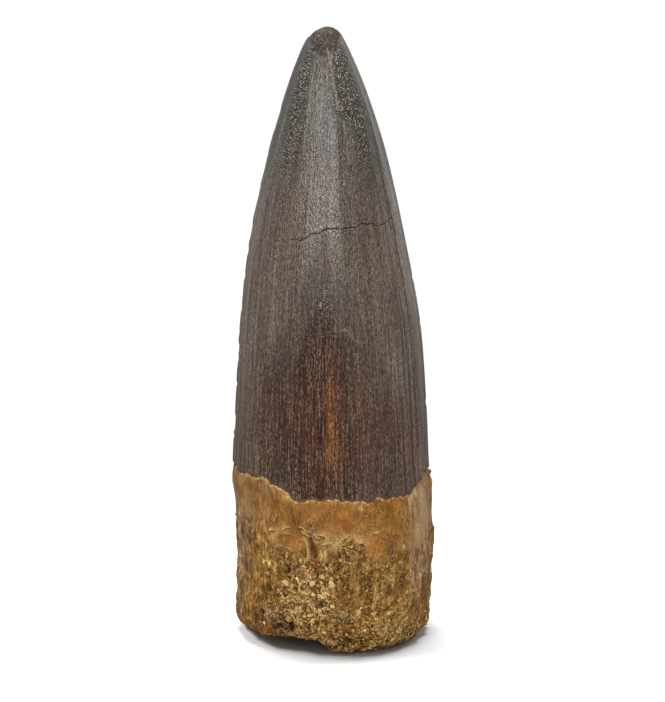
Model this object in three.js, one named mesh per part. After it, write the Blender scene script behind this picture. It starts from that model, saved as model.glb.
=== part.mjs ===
// A fossil spinosaurus tooth: a tall, nearly straight conical crown with a blunt worn tip, and under
// it the stump of the root, crusted with cemented sand and broken off below. Crown, root and crust
// are one stone, so they are one mesh. It stands on the broken end of the root.
//
// Millimetres. +Z runs up to the tip, X across the broad face and Y through the tooth, with the
// clean face towards -Y. Z = 0 is the surface it stands on. Angles go round the tooth from +X, so
// the middle of the clean face is at -90 degrees.

import * as THREE from 'three';

// Driving dimensions.
const HEIGHT = 120; // ground to the worn tip
const DEPTH_RATIO = 0.85; // front to back against side to side
const TIP_DEPTH_RATIO = 0.95; // the same at the tip, which is nearly round
const BOW = 4; // how far the tip leans back
const CARINA_RISE = 0.3; // the two unserrated cutting ridges
const CARINA_WIDTH = 1.1;
const ENAMEL = 0.45; // thickness of the enamel where it ends on the root
const ENAMEL_BREAK = 0.35; // height of the step at its lower edge
const CRUST_SLOPE = 1.6; // height over which the crust rises from the bare root
const RIM_HEIGHT = 3; // height of the rounded edge of the broken end
const RIM_INSET = 0.84; // where the underside begins, as a share of the radius
const BREAK_DEPTH = 1.5; // mean height of the broken underside over the ground
const TIP_SLANT = 0.1; // how much the worn tip slopes down to the left
const LUMP_SIZE = 3.4; // across one lump of the crust
const LUMP_RISE = 0.5; // and how far it stands out or in
const KNOB_SIZE = 1.7; // the smaller knobs on the lumps
const KNOB_RISE = 0.3;
const BREAK_LUMP_SIZE = 6; // lumps of the broken underside
const BREAK_LUMP_RISE = 1.1;

// How finely the surface is cut.
const COLUMNS = 104;
const CROWN_ROWS = 16;
const CROWN_CROWDING = 1.7; // over 1 brings the rows closer towards the tip
const ROOT_ROWS = 20;
const RIM_ROWS = 3;
const UNDERSIDE_ROWS = 7;

// The outline from the front: square root of the distance below the tip (so that the nose is
// round), half width, and how far the middle of the width lies off the Z axis.
const OUTLINE = [
  [0, 0, -1.2],
  [0.95, 2.48, -1.4],
  [1.55, 3.6, -1.5],
  [2.49, 5.42, -1.42],
  [3.71, 8.3, -1.22],
  [5.03, 11.75, -1.08],
  [6.39, 15.18, -1.05],
  [7.54, 17.66, -0.55],
  [8.54, 18.85, -0.35],
  [9.32, 19.62, -0.35],
  [9.67, 19.84, 0.25],
  [10.1, 19.72, 0.4],
  [10.5, 19.7, 0.15],
  [10.96, 19.5, 0],
];

// Where the enamel ends on the root: angle and height, right round.
const ENAMEL_EDGE = [
  [-180, 35.2],
  [-152, 34.4],
  [-132, 35],
  [-123, 33.1],
  [-115, 32.8],
  [-111, 31.5],
  [-92, 31.6],
  [-68, 31],
  [-50, 31.3],
  [-38, 30.9],
  [-26, 32.9],
  [-5, 33.7],
  [25, 32.3],
  [48, 30.8],
  [75, 30.2],
  [96, 31.4],
  [122, 31],
  [150, 33.6],
  [180, 35.2],
];

// Where the crust of sand ends below the smooth band of bare root.
const CRUST_EDGE = [
  [-180, 27],
  [-150, 25],
  [-126, 24.2],
  [-106, 24.6],
  [-90, 22.4],
  [-72, 22],
  [-62, 19.4],
  [-30, 18.6],
  [-8, 22],
  [20, 24],
  [52, 20.5],
  [84, 22.5],
  [118, 19.8],
  [150, 24],
  [180, 27],
];

// How far the broken end is lifted off the ground round its rim.
const RIM_LIFT = [
  [-180, 1.6],
  [-160, 2],
  [-134, 2.1],
  [-112, 3.1],
  [-98, 2.8],
  [-88, 1.3],
  [-74, 0],
  [-56, 0.5],
  [-36, 0.2],
  [-12, 1],
  [20, 0.4],
  [55, 1.8],
  [84, 0.4],
  [112, 1.5],
  [145, 0.2],
  [180, 1.6],
];

// Ridges, clumps and pits of the root: angle, height, reach round, reach up, lean, rise.
const FEATURES = [
  [-118, 24.2, 2.6, 0.9, 0, 0.4],
  [-99, 23.4, 3.2, 0.9, -0.5, 0.6],
  [-72, 21.4, 2.8, 1.2, 0, 0.6],
  [-101, 20.1, 0.9, 2.8, 0, 0.4],
  [-95, 19.4, 1.3, 3.2, 0, -0.9],
  [-128, 33.6, 2, 0.9, 0, 0.3],
  [-3, 33.2, 1, 0.9, 0, 0.3],
  [-3, 29.4, 3, 3.4, 0, 0.4],
  [-177, 31, 3, 3.2, 0, 0.5],
  [-177, 15, 2.4, 2.6, 0, -0.45],
  [-173, 8, 2.6, 2.4, 0, -0.5],
  [-116, 6, 1.7, 1.5, 0, -1.1],
  [-139, 7, 1.4, 1.2, 0, -0.8],
  [-90, 13, 2.2, 1.6, 0, 0.5],
  [-60, 7, 3, 2.4, 0, 0.5],
  [-160, 14, 1.2, 5, 0, -0.5],
  [-30, 10, 1.2, 6, 0, 0.4],
  [14, 16, 3, 1.6, 0.3, 0.5],
  [38, 9, 2.2, 2, 0, -0.9],
  [62, 19, 3.6, 1, 0.4, 0.6],
  [80, 12, 1.3, 4, 0, -0.8],
  [100, 16, 2.6, 1.8, 0, 0.6],
  [128, 8, 2.6, 2.2, 0, 0.6],
  [146, 18, 1.2, 4.5, 0, -0.6],
  [166, 10, 2, 1.8, 0, 0.4],
];

// Shallow flutes of the crown and the scallops of its lower edge: rise, turns round, phase.
const FLUTES = [
  [0.05, 13, 0.9],
  [0.04, 19, 2.6],
];
const SCALLOPS = [
  [0.16, 17, 1.1],
  [0.14, 25, 3.7],
];

// The flat places of the underside that bear on the ground: x, y, reach.
const BEARINGS = [
  [4.6, -12.2, 4.6],
  [-12, 3, 4.8],
  [10, 7.5, 5.2],
  [-4, 11, 4.2],
];
const BEARING_PRESS = 4.5; // how firmly a bearing flattens the break around it

const RIGHT = 0;
const LEFT = 180;

const radians = THREE.MathUtils.degToRad;
const { clamp, lerp, smoothstep } = THREE.MathUtils;

// The smooth line through a table's points, at one value of its first column.
function along(table, at, column = 1) {
  const last = table.length - 1;
  let i = 0;
  while (i < last - 1 && at > table[i + 1][0]) i += 1;
  const slope = (k) => {
    const from = table[Math.max(k - 1, 0)];
    const to = table[Math.min(k + 1, last)];
    return (to[column] - from[column]) / (to[0] - from[0]);
  };
  const step = table[i + 1][0] - table[i][0];
  const t = clamp((at - table[i][0]) / step, 0, 1);
  const start = table[i][column] * (1 + 2 * t) * (1 - t) ** 2;
  const end = table[i + 1][column] * (3 - 2 * t) * t ** 2;
  const lean = slope(i) * (1 - t) ** 2 * t - slope(i + 1) * (1 - t) * t ** 2;
  return start + end + lean * step;
}

// Waves round the tooth.
function waves(table, angle) {
  return table.reduce((sum, [rise, turns, phase]) => {
    return sum + rise * Math.sin(turns * radians(angle) + phase);
  }, 0);
}

// A value from -1 to 1 for each corner of a unit lattice, the same on every run.
function scatter(i, j, k) {
  const wave = Math.sin(i * 127.1 + j * 311.7 + k * 74.7) * 43758.5453;
  return 2 * (wave - Math.floor(wave)) - 1;
}

// Smooth lumps in space, about one size across, from -1 to 1.
function lumpy(point, size) {
  const at = [point.x / size, point.y / size, point.z / size];
  const cell = at.map(Math.floor);
  const ease = at.map((value, axis) => smoothstep(value - cell[axis], 0, 1));
  let sum = 0;
  for (let corner = 0; corner < 8; corner += 1) {
    const far = [corner & 1, (corner >> 1) & 1, (corner >> 2) & 1];
    const share = far.reduce((part, end, axis) => part * (end ? ease[axis] : 1 - ease[axis]), 1);
    sum += share * scatter(cell[0] + far[0], cell[1] + far[1], cell[2] + far[2]);
  }
  return sum;
}

// The shortest way round from one angle to another, in degrees.
const turnBetween = (from, to) => THREE.MathUtils.euclideanModulo(to - from + 180, 360) - 180;

const belowTip = (z) => Math.sqrt(Math.max(HEIGHT - z, 0));
const halfWidth = (z) => along(OUTLINE, belowTip(z)) - CARINA_RISE * smoothstep(belowTip(z), 0, 3);
const middle = (z) => along(OUTLINE, belowTip(z), 2);
const bow = (z) => BOW * (clamp(z, 0, HEIGHT) / HEIGHT) ** 2.2;
const depthRatio = (z) => lerp(TIP_DEPTH_RATIO, DEPTH_RATIO, smoothstep(HEIGHT - z, 0, 30));
const enamelEdge = (angle) => along(ENAMEL_EDGE, angle) + waves(SCALLOPS, angle);

// The cutting ridges at both sides, which run from near the tip down onto the root.
function carinae(angle, z) {
  const round = radians(halfWidth(z));
  return [RIGHT, LEFT].reduce((sum, side) => {
    const away = (turnBetween(side, angle) * round) / CARINA_WIDTH;
    return sum + CARINA_RISE * Math.exp(-(away ** 2)) * smoothstep(belowTip(z), 0, 3);
  }, 0);
}

// One ridge, clump or pit.
function feature([at, height, round, up, lean, rise], angle, z) {
  const across = turnBetween(at, angle) * radians(halfWidth(z));
  const above = z - height - lean * across;
  return rise * Math.exp(-((across / round) ** 2) - (above / up) ** 2);
}

// How far the crown's surface stands out from the even surface.
function crownRelief(angle, z) {
  return carinae(angle, z) + waves(FLUTES, angle) * smoothstep(belowTip(z), 1, 5);
}

// The same for the root: bare and even under the enamel, then lumpy with crust.
function rootRelief(angle, z) {
  const spot = onSurface(angle, z, 0);
  const crusted = smoothstep(along(CRUST_EDGE, angle) - z, 0, CRUST_SLOPE);
  const lumps = LUMP_RISE * lumpy(spot, LUMP_SIZE) + KNOB_RISE * lumpy(spot, KNOB_SIZE);
  const features = FEATURES.reduce((sum, each) => sum + feature(each, angle, z), 0);
  const bare = -ENAMEL * (1 - smoothstep(enamelEdge(angle) - z, 4, 16));
  return bare + crusted * lumps + features + carinae(angle, z);
}

// A point at an angle and height, standing out from the even surface by a relief.
function onSurface(angle, z, relief) {
  const a = radians(angle);
  const across = (halfWidth(z) + relief) * Math.cos(a);
  const through = (halfWidth(z) * depthRatio(z) + relief) * Math.sin(a);
  const slant = TIP_SLANT * across * Math.exp(-(HEIGHT - z) / 4);
  return new THREE.Vector3(middle(z) + across, bow(z) + through, z + slant);
}

// The broken underside: a rough, lifted floor, pressed flat where it bears on the ground.
function undersideHeight(x, y, angle, share) {
  const lift = lerp(BREAK_DEPTH, along(RIM_LIFT, angle), share ** 2);
  const rough = BREAK_LUMP_RISE * lumpy({ x, y, z: 0 }, BREAK_LUMP_SIZE);
  const pressed = BEARINGS.reduce((sum, [px, py, reach]) => {
    return sum + BEARING_PRESS * Math.exp(-(((x - px) ** 2 + (y - py) ** 2) / reach ** 2));
  }, 0);
  return Math.max(0, lift + rough * (1 - 0.7 * share ** 2) - pressed);
}

// One column of the surface, from under the tip to just before the middle of the underside.
function column(angle) {
  const points = [];
  const edge = enamelEdge(angle);
  for (let row = 1; row <= CROWN_ROWS; row += 1) {
    const z = HEIGHT - (HEIGHT - edge) * (row / CROWN_ROWS) ** CROWN_CROWDING;
    points.push(onSurface(angle, z, crownRelief(angle, z)));
  }
  const rootTop = edge - ENAMEL_BREAK;
  const rim = RIM_HEIGHT + along(RIM_LIFT, angle);
  for (let row = 0; row <= ROOT_ROWS; row += 1) {
    const z = lerp(rootTop, rim, row / ROOT_ROWS);
    points.push(onSurface(angle, z, rootRelief(angle, z)));
  }
  const side = points[points.length - 1];
  for (let row = 1; row <= RIM_ROWS; row += 1) {
    const turn = (row / RIM_ROWS) * (Math.PI / 2);
    const share = lerp(RIM_INSET, 1, Math.cos(turn));
    const floor = undersideHeight(side.x * RIM_INSET, side.y * RIM_INSET, angle, 1);
    points.push(new THREE.Vector3(side.x * share, side.y * share, lerp(side.z, floor, Math.sin(turn))));
  }
  for (let row = 1; row < UNDERSIDE_ROWS; row += 1) {
    const share = 1 - row / UNDERSIDE_ROWS;
    const x = side.x * RIM_INSET * share;
    const y = side.y * RIM_INSET * share;
    points.push(new THREE.Vector3(x, y, undersideHeight(x, y, angle, share)));
  }
  return points;
}

// The closed surface: the columns, joined side by side, with one point at the tip and one below.
function toothGeometry() {
  const columns = Array.from({ length: COLUMNS }, (_, i) => column((i / COLUMNS) * 360 - 180));
  const rows = columns[0].length;
  const tip = COLUMNS * rows;
  const below = tip + 1;
  const points = columns.flat();
  points.push(new THREE.Vector3(middle(HEIGHT), bow(HEIGHT), HEIGHT));
  points.push(new THREE.Vector3(0, 0, undersideHeight(0, 0, 0, 0)));
  const faces = [];
  for (let i = 0; i < COLUMNS; i += 1) {
    const here = i * rows;
    const next = ((i + 1) % COLUMNS) * rows;
    faces.push(tip, here, next);
    for (let row = 0; row < rows - 1; row += 1) {
      faces.push(here + row, here + row + 1, next + row + 1);
      faces.push(here + row, next + row + 1, next + row);
    }
    faces.push(here + rows - 1, below, next + rows - 1);
  }
  const geometry = new THREE.BufferGeometry().setFromPoints(points);
  geometry.setIndex(faces);
  geometry.computeVertexNormals();
  return geometry;
}

const fossil = new THREE.MeshStandardMaterial({ color: '#5b4a40', roughness: 0.45, metalness: 0 });

const tooth = new THREE.Mesh(toothGeometry(), fossil);
tooth.name = 'tooth';

const part = new THREE.Group();
part.add(tooth);

export default part;
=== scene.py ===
import math
from functools import partial

import bmesh
import bpy
import numpy as np
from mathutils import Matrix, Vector


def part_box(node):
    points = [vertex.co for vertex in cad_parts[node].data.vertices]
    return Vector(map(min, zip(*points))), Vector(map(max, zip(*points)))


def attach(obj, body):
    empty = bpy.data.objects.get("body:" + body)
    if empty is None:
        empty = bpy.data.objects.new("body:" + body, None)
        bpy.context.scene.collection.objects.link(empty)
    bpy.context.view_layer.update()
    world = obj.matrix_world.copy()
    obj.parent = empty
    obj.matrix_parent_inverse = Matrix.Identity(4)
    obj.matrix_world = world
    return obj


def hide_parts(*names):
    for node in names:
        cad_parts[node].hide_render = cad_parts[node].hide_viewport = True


bl_info = {
    "name": "Fossil Spinosaurus Tooth",
    "version": (1, 0, 0),
    "blender": (4, 5, 0),
    "location": "View3D > Sidebar > Fossil Tooth",
    "description": "Builds a fossil tooth: dark enamel over a root stump crusted with cemented sand",
    "category": "Add Mesh",
}

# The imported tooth, in metres. It stands on z = 0 with its clean face towards -Y.
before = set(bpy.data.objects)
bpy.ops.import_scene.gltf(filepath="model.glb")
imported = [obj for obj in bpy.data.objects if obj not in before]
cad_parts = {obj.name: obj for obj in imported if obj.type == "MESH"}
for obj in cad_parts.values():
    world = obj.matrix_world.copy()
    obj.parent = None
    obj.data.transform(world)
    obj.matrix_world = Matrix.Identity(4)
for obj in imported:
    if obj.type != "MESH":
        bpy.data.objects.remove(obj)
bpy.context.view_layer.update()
TOOTH_NODE = "tooth"
BODY = "root"

# Sizes below are in millimetres and angles in degrees round the tooth from +X, so that the middle
# of the clean face is at -90. The outline and the enamel's and the crust's edges repeat the solid's,
# and the finer forms that follow are drawn on them.
MM = 0.001
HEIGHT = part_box(TOOTH_NODE)[1].z / MM
RIGHT, LEFT, FRONT = 0.0, 180.0, -90.0

# Root of the distance below the tip, half width, and how far the middle lies off the Z axis.
OUTLINE = (
    (0, 0, -1.2), (0.95, 2.48, -1.4), (1.55, 3.6, -1.5), (2.49, 5.42, -1.42), (3.71, 8.3, -1.22),
    (5.03, 11.75, -1.08), (6.39, 15.18, -1.05), (7.54, 17.66, -0.55), (8.54, 18.85, -0.35),
    (9.32, 19.62, -0.35), (9.67, 19.84, 0.25), (10.1, 19.72, 0.4), (10.5, 19.7, 0.15),
    (10.96, 19.5, 0),
)
DEPTH_RATIO, TIP_DEPTH_RATIO = 0.85, 0.95  # front to back, as a share of the width
BOW, BOW_CURVE = 4.0, 2.2  # how far the tip is bent back from the clean face, and how late
CARINA_RISE, CARINA_WIDTH = 0.3, 1.1  # the two cutting ridges
TIP_SLANT = 0.1  # slope of the worn tip

# Angle and height: where the enamel ends, where the lumps of the crust end, how high the broken
# rim is lifted off the ground, and the line of the crack.
ENAMEL_EDGE = (
    (-180, 35.2), (-152, 34.4), (-132, 35), (-123, 33.1), (-115, 32.8), (-111, 31.5), (-92, 31.6),
    (-68, 31), (-50, 31.3), (-38, 30.9), (-26, 32.9), (-5, 33.7), (25, 32.3), (48, 30.8),
    (75, 30.2), (96, 31.4), (122, 31), (150, 33.6), (180, 35.2),
)
CRUST_EDGE = (
    (-180, 27), (-150, 25), (-126, 24.2), (-106, 24.6), (-90, 22.4), (-72, 22), (-62, 19.4),
    (-30, 18.6), (-8, 22), (20, 24), (52, 20.5), (84, 22.5), (118, 19.8), (150, 24), (180, 27),
)
RIM_LIFT = (
    (-180, 1.6), (-160, 2), (-134, 2.1), (-112, 2.6), (-98, 2.2), (-88, 1.2), (-74, 0),
    (-56, 0.5), (-36, 0.2), (-12, 0.6), (20, 0.4), (55, 1.8), (84, 0.4), (112, 1.5), (145, 0.2),
    (180, 1.6),
)
CRACK_LINE = (
    (-180, 80), (-150, 80.2), (-118, 80.7), (-107, 81.2), (-101, 82), (-94, 82.2), (-89, 82.8),
    (-72, 83), (-59, 83.6), (-41, 83.1), (-33, 83.5), (-15, 84.5), (20, 84), (60, 83.2),
    (95, 82), (140, 80.8), (180, 80),
)
# Angle and depth of the crack as a share of its deepest: it fades out towards the sides.
CRACK_OPEN = (
    (-180, 0), (-124, 0), (-119, 0.45), (-108, 0.7), (-95, 1.1), (-35, 0.9), (-20, 0.6), (-10, 0.2),
    (0, 0), (28, 0), (40, 0.5), (84, 0.6), (100, 0), (180, 0),
)
CRACK_DEPTH, CRACK_HALF_WIDTH = 0.28, 0.065
CRACK_SHELF = 0.04  # the enamel above the crack stands this far out over the enamel below
CRACK_ROWS = (0.6, 0.25, 0.12, 0.06, 0.0, -0.06, -0.12, -0.25, -0.6)  # heights over the crack

# Rise, turns round the tooth and phase of the crown's flutes and of the enamel edge's scallops.
FLUTES = ((0.05, 13, 0.9), (0.04, 19, 2.6))
SCALLOPS = ((0.16, 17, 1.1), (0.14, 25, 3.7))
ENAMEL = 0.45  # thickness of the enamel where it ends on the root
# The enamel's broken lower face: how far in and how far up, from the edge inwards.
ENAMEL_LIP = ((0.06, -0.1), (0.2, -0.14), (0.42, -0.06), (0.85, 0.1))

# Ridges, clumps and pits of the root: angle, height, reach round, reach up, lean, rise.
FEATURES = (
    (-121, 24.8, 2.4, 0.6, 0, 0.35), (-105, 24.9, 2.6, 0.6, -0.3, 0.5),
    (-97, 23.9, 1.4, 0.8, 0, 0.5), (-79.5, 22.2, 2.4, 1.1, 0, 0.5), (-105.1, 21, 0.5, 2.2, 0, 0.3),
    (-100.5, 20.2, 1.3, 2.2, 0, -0.9), (-121, 20.6, 2.2, 0.9, 0, -0.4),
    (-128, 33.6, 2, 0.8, 0, 0.3), (-4, 33.1, 0.7, 0.7, 0, 0.9), (-3, 31, 3, 1.6, 0, 0.4),
    (-3, 29.4, 3, 3.4, 0, 0.4), (-177, 31, 3, 3.2, 0, 0.5), (-177, 15, 2.4, 2.6, 0, -0.45),
    (-173, 8, 2.6, 2.4, 0, -0.5), (-118, 5.6, 1.5, 1.1, 0, -1.0), (-137, 7.2, 0.9, 1.0, 0, -0.8),
    (-106, 13, 3.4, 2.4, 0, 0.5), (-60, 7, 3, 2.4, 0, 0.5), (-160, 14, 1.2, 5, 0, -0.5),
    (-30, 10, 1.2, 6, 0, 0.4), (14, 16, 3, 1.6, 0.3, 0.5), (38, 9, 2.2, 2, 0, -0.9),
    (62, 19, 3.6, 0.8, 0.4, 0.6), (80, 12, 1.3, 4, 0, -0.8), (100, 16, 2.6, 1.8, 0, 0.6),
    (128, 8, 2.6, 2.2, 0, 0.6), (146, 18, 1.2, 4.5, 0, -0.6), (166, 10, 2, 1.8, 0, 0.4),
)
CRUST_SLOPE = 1.2  # height over which the crust rises from the bare root
# Broken edges of the root's outer layer: points as angle and height, the edge's rise, and how far
# up behind it the layer is lifted. Its broken face falls away within LEDGE_FACE, and a hollow lies
# under it, LEDGE_UNDER away.
LEDGE_FACE, LEDGE_UNDER, LEDGE_UNDERCUT = 0.16, 0.34, 0.8
LEDGES = (
    (((-129.5, 24.3), (-125.3, 24.8), (-122.5, 24.7), (-119.2, 25.2), (-115.4, 25.6)), 0.5, 0.5),
    (((-121.6, 24), (-119.5, 24.3), (-117.2, 24.3)), 0.2, 0.2),
    (
        ((-110, 25.6), (-108, 25.7), (-105.8, 25.2), (-104.1, 25.1), (-102.2, 24.9), (-100.6, 24.4)),
        0.6, 0.6,
    ),
    (((-108.4, 24.9), (-105.9, 24.5), (-104.2, 24)), 0.25, 0.25),
    (((-103, 23.6), (-100.2, 22.9), (-98, 22.6), (-95.2, 22.7)), 0.45, 0.4),
    (((-95.2, 22.7), (-91.6, 22.9)), 0.3, 0.3),
    (((-86, 22.4), (-82.9, 23.4), (-81.2, 23.8), (-77.8, 23.1), (-73.6, 22.6)), 0.35, 0.3),
    (((-87, 22), (-84, 21.9), (-81.3, 21.3), (-76.7, 21), (-73.8, 20.2)), 0.35, 0.35),
    (((-127.2, 21.2), (-122, 21.9), (-117.5, 21.5), (-116, 20.6)), 0.25, 0.2),
    (((-70, 18.9), (-65, 19.2), (-60.4, 18.7)), 0.1, 0.25),
    (((-69.6, 24.4), (-66.6, 24.5), (-64, 24.6), (-61, 24.8), (-57, 25.1)), 0.06, 0.2),
    (((16, 24.4), (26, 23), (35, 23.6), (44, 22.2)), 0.4, 0.7),
    (((52, 21.2), (60, 22.4), (69, 22), (76, 23.1), (84, 22.6)), 0.45, 0.7),
    (((88, 21.4), (97, 22.3), (104, 21), (110, 21.4)), 0.4, 0.6),
    (((122, 20.6), (130, 22.4), (139, 22), (147, 23.4)), 0.4, 0.7),
)
# Where the crust of sand begins, and patches that reach up over the bare root or, below zero,
# leave it bare: angle, height, reach round, reach up, strength.
COVER_EDGE = (
    (-180, 25.5), (-160, 26.5), (-149, 26.4), (-141, 25), (-134, 23.6), (-129.5, 22.4), (-125, 20.6),
    (-117, 20.2), (-109, 19.8), (-103, 19.2), (-97, 19.2), (-92, 19.8), (-88.5, 21.6), (-85, 22.9),
    (-81, 23.8), (-76, 23.1), (-72.5, 21.2), (-70, 19.4), (-66, 19.1), (-60, 19), (-52, 19.9),
    (-43, 20.4), (-36, 20.2), (-28, 21.5), (-12, 23.5), (6, 22), (22, 24), (36, 21), (52, 19),
    (66, 22), (84, 22.6), (97, 20), (108, 21.5), (122, 18.6), (138, 21), (158, 24.6), (180, 25.5),
)
CRUST_ISLANDS = (
    (-98.4, 24, 1.5, 0.65, 2.3), (-91, 20.6, 0.8, 1.0, -0.9), (-113.5, 18.6, 0.8, 1.2, -0.6),
    (-71, 14.5, 0.8, 3, -0.3), (66, 17, 4, 2, -0.9), (112, 14, 3, 3, -0.7), (30, 14, 3, 3, -0.6),
    (46, 25, 3, 1.5, 0.9), (130, 24, 3, 1.5, 0.8),
)
# Narrow raised fibres, or grooves below zero: points, rise and half width.
FIBRES = (
    (
        ((-108, 23.5), (-105.9, 23.3), (-105.2, 22.5), (-105.1, 21.5), (-105.2, 20.5), (-105.6, 19.4)),
        0.45, 0.3,
    ),
    (((-104.3, 24), (-103.6, 22.9), (-103, 21.9), (-102, 21), (-101.6, 20)), -0.7, 0.3),
    (((-98.4, 21.4), (-98.1, 20.2), (-97.8, 18.8)), 0.25, 0.25),
    (((-95.7, 21.8), (-95.4, 20.7), (-95.4, 19.4)), 0.3, 0.25),
    (((-91, 19.4), (-92.6, 18), (-94.6, 16.6)), 0.35, 0.3),
    (((-65.8, 13.2), (-66.2, 11.8), (-65.7, 10.2)), 0.3, 0.25),
    (((-80, 17.6), (-79.6, 15.8), (-80.2, 13.6)), 0.25, 0.3),
    (((-53, 17.5), (-54, 15.4), (-53, 13.2)), 0.25, 0.3),
    (((-31, 24), (-30, 20), (-31, 15), (-29, 9)), 0.2, 0.4),
    (((-23, 18), (-22, 13), (-23, 8)), -0.25, 0.5),
    (((74, 21), (73, 17.5), (74, 14)), 0.4, 0.4),
    (((102, 19.6), (103, 16), (102, 12.6)), 0.4, 0.45),
)
# The thin crust left on the bare root at the upper left: its lower edge.
LEFT_CRUST = (
    (-160, 31), (-148, 33.6), (-140, 34.2), (-132.6, 33.8), (-126.6, 33), (-120, 32.6), (-115, 31.8),
    (-109, 31.2),
)
FLAKE_BEGIN, FLAKE_END = (-166, -158), (-107, -112)  # the angles over which it fades in and out
FLAKE_RISE = 0.2
LUMPS = ((3.4, 0.5), (1.7, 0.3))  # size and rise of the crust's lumps, as in the solid
RIM_HEIGHT, RIM_INSET = 3.0, 0.84  # the broken end's rounded edge, and the share inside it
BREAK_DEPTH = 1.5  # mean height of the broken underside over the ground
BREAK_LUMP_SIZE, BREAK_LUMP_RISE = 6.0, 1.1
# Where the underside bears on the ground, as x, y and reach, and how far it is pressed down there.
BEARINGS = ((4.6, -12.2, 4.6), (-12, 3, 4.8), (10, 7.5, 5.2), (-4, 11, 4.2))
BEARING_PRESS = 4.5

# How finely the surfaces are cut.
CROWN_COLUMNS, TIP_ROWS, CROWN_ROWS = 480, 92, 90
ROOT_COLUMNS, BARE_ROWS, CRUST_ROWS, RIM_ROWS, UNDERSIDE_ROWS = 520, 26, 112, 14, 30
CRUST_TOP = 27.0  # the root's rows are close together below this height
BARE_TOP = 1.2  # how far the root's rows go on upwards, hidden under the enamel
FIBRE_RADIUS = 16.0  # the fibres run in a space where the crown is a cylinder of this radius
GRAIN_SHAPES = 12  # how many different grains there are of each kind
GRAIN_SPREAD = 0.3  # spread of the grains' widths, on a log scale
MERGED, COLLAPSED = 1e-7, 1e-8  # corners and edges this short, in metres, become one


# --- Settings -----------------------------------------------------------------------------------


def linear(hex_colour):
    """An sRGB hex colour as linear red, green and blue."""
    channels = [int(hex_colour[i : i + 2], 16) / 255 for i in (1, 3, 5)]
    return tuple(c / 12.92 if c <= 0.04045 else ((c + 0.055) / 1.055) ** 2.4 for c in channels)


def colour(name, description, default):
    return bpy.props.FloatVectorProperty(
        name=name,
        description=description,
        subtype="COLOR",
        size=3,
        min=0,
        max=1,
        default=linear(default),
    )


def length(name, description, millimetres):
    return bpy.props.FloatProperty(
        name=name,
        description=description,
        default=millimetres * MM,
        min=0,
        unit="LENGTH",
        subtype="DISTANCE",
    )


class ToothCrownSettings(bpy.types.PropertyGroup):
    striae_depth: length("Striae depth", "Depth of the fine lengthwise lines in the enamel", 0.035)
    pit_depth: length("Pit depth", "Depth of the pitted bands near the tip", 0.07)
    wear_depth: length("Wear depth", "How far the worn cap lies below the enamel", 0.12)
    enamel: colour("Enamel", "Olive-grey brown of the upper enamel", "#5e5347")
    enamel_purple: colour("Purple enamel", "Purplish brown patches of the upper enamel", "#564841")
    enamel_low: colour("Low enamel", "Dark brown towards the root", "#352015")
    enamel_red: colour("Red enamel", "Red-brown patches towards the root", "#3e1e0f")
    dashes: colour("Dashes", "Tan mineral caught in the finest lines", "#a08b70")
    amber: colour("Amber", "Warm patch where the dentine glows through", "#643d16")
    worn: colour("Worn tip", "Matt brown of the worn cap", "#3a2c1d")


class ToothRootSettings(bpy.types.PropertyGroup):
    grain_rise: length("Grain rise", "How far the crust's cemented grains stand out", 0.36)
    fine_rise: length("Fine rise", "Height of the crust's finest roughness", 0.18)


class ToothSandSettings(bpy.types.PropertyGroup):
    fine_count: bpy.props.IntProperty(
        name="Fine grains", description="How many fine, angular grains", default=11000, min=0, max=16000
    )
    coarse_count: bpy.props.IntProperty(
        name="Coarse grains", description="How many coarse, blunt grains", default=700, min=0, max=2400
    )
    fine_size: length("Fine grain size", "Mean width of the fine grains", 0.3)
    coarse_size: length("Coarse grain size", "Mean width of the coarse grains", 0.6)
    seed: bpy.props.IntProperty(name="Seed", description="Picks the places of the grains", default=7)


# --- Shape --------------------------------------------------------------------------------------


def smoothstep(low, high, value):
    t = np.clip((value - low) / (high - low), 0, 1)
    return t * t * (3 - 2 * t)


def lerp(start, end, share):
    return start + (end - start) * share


def along(table, at, column=1):
    """The smooth line through a table's points, at values of its first column."""
    points = np.array(table, float)
    x, y = points[:, 0], points[:, column]
    slope = np.empty(len(x))
    slope[1:-1] = (y[2:] - y[:-2]) / (x[2:] - x[:-2])
    slope[0] = (y[1] - y[0]) / (x[1] - x[0])
    slope[-1] = (y[-1] - y[-2]) / (x[-1] - x[-2])
    at = np.asarray(at, float)
    i = np.clip(np.searchsorted(x, at) - 1, 0, len(x) - 2)
    step = x[i + 1] - x[i]
    t = np.clip((at - x[i]) / step, 0, 1)
    ends = y[i] * (1 + 2 * t) * (1 - t) ** 2 + y[i + 1] * (3 - 2 * t) * t**2
    return ends + (slope[i] * (1 - t) ** 2 * t - slope[i + 1] * (1 - t) * t**2) * step


def waves(table, angle):
    return sum(rise * np.sin(turns * np.radians(angle) + phase) for rise, turns, phase in table)


def scatter(i, j, k):
    """A value from -1 to 1 for each corner of a unit lattice, the same on every run."""
    wave = np.sin(i * 127.1 + j * 311.7 + k * 74.7) * 43758.5453
    return 2 * (wave - np.floor(wave)) - 1


def lumpy(point, size):
    """Smooth lumps in space, about one size across, from -1 to 1. Size may be one per axis."""
    sizes = size if isinstance(size, tuple) else (size,) * 3
    at = [np.asarray(p, float) / s for p, s in zip(point, sizes)]
    cell = [np.floor(a) for a in at]
    ease = [smoothstep(0, 1, a - c) for a, c in zip(at, cell)]
    total = 0
    for corner in range(8):
        far = (corner & 1, corner >> 1 & 1, corner >> 2 & 1)
        share = 1
        for axis in range(3):
            share = share * (ease[axis] if far[axis] else 1 - ease[axis])
        total = total + share * scatter(*[cell[axis] + far[axis] for axis in range(3)])
    return total


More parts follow.
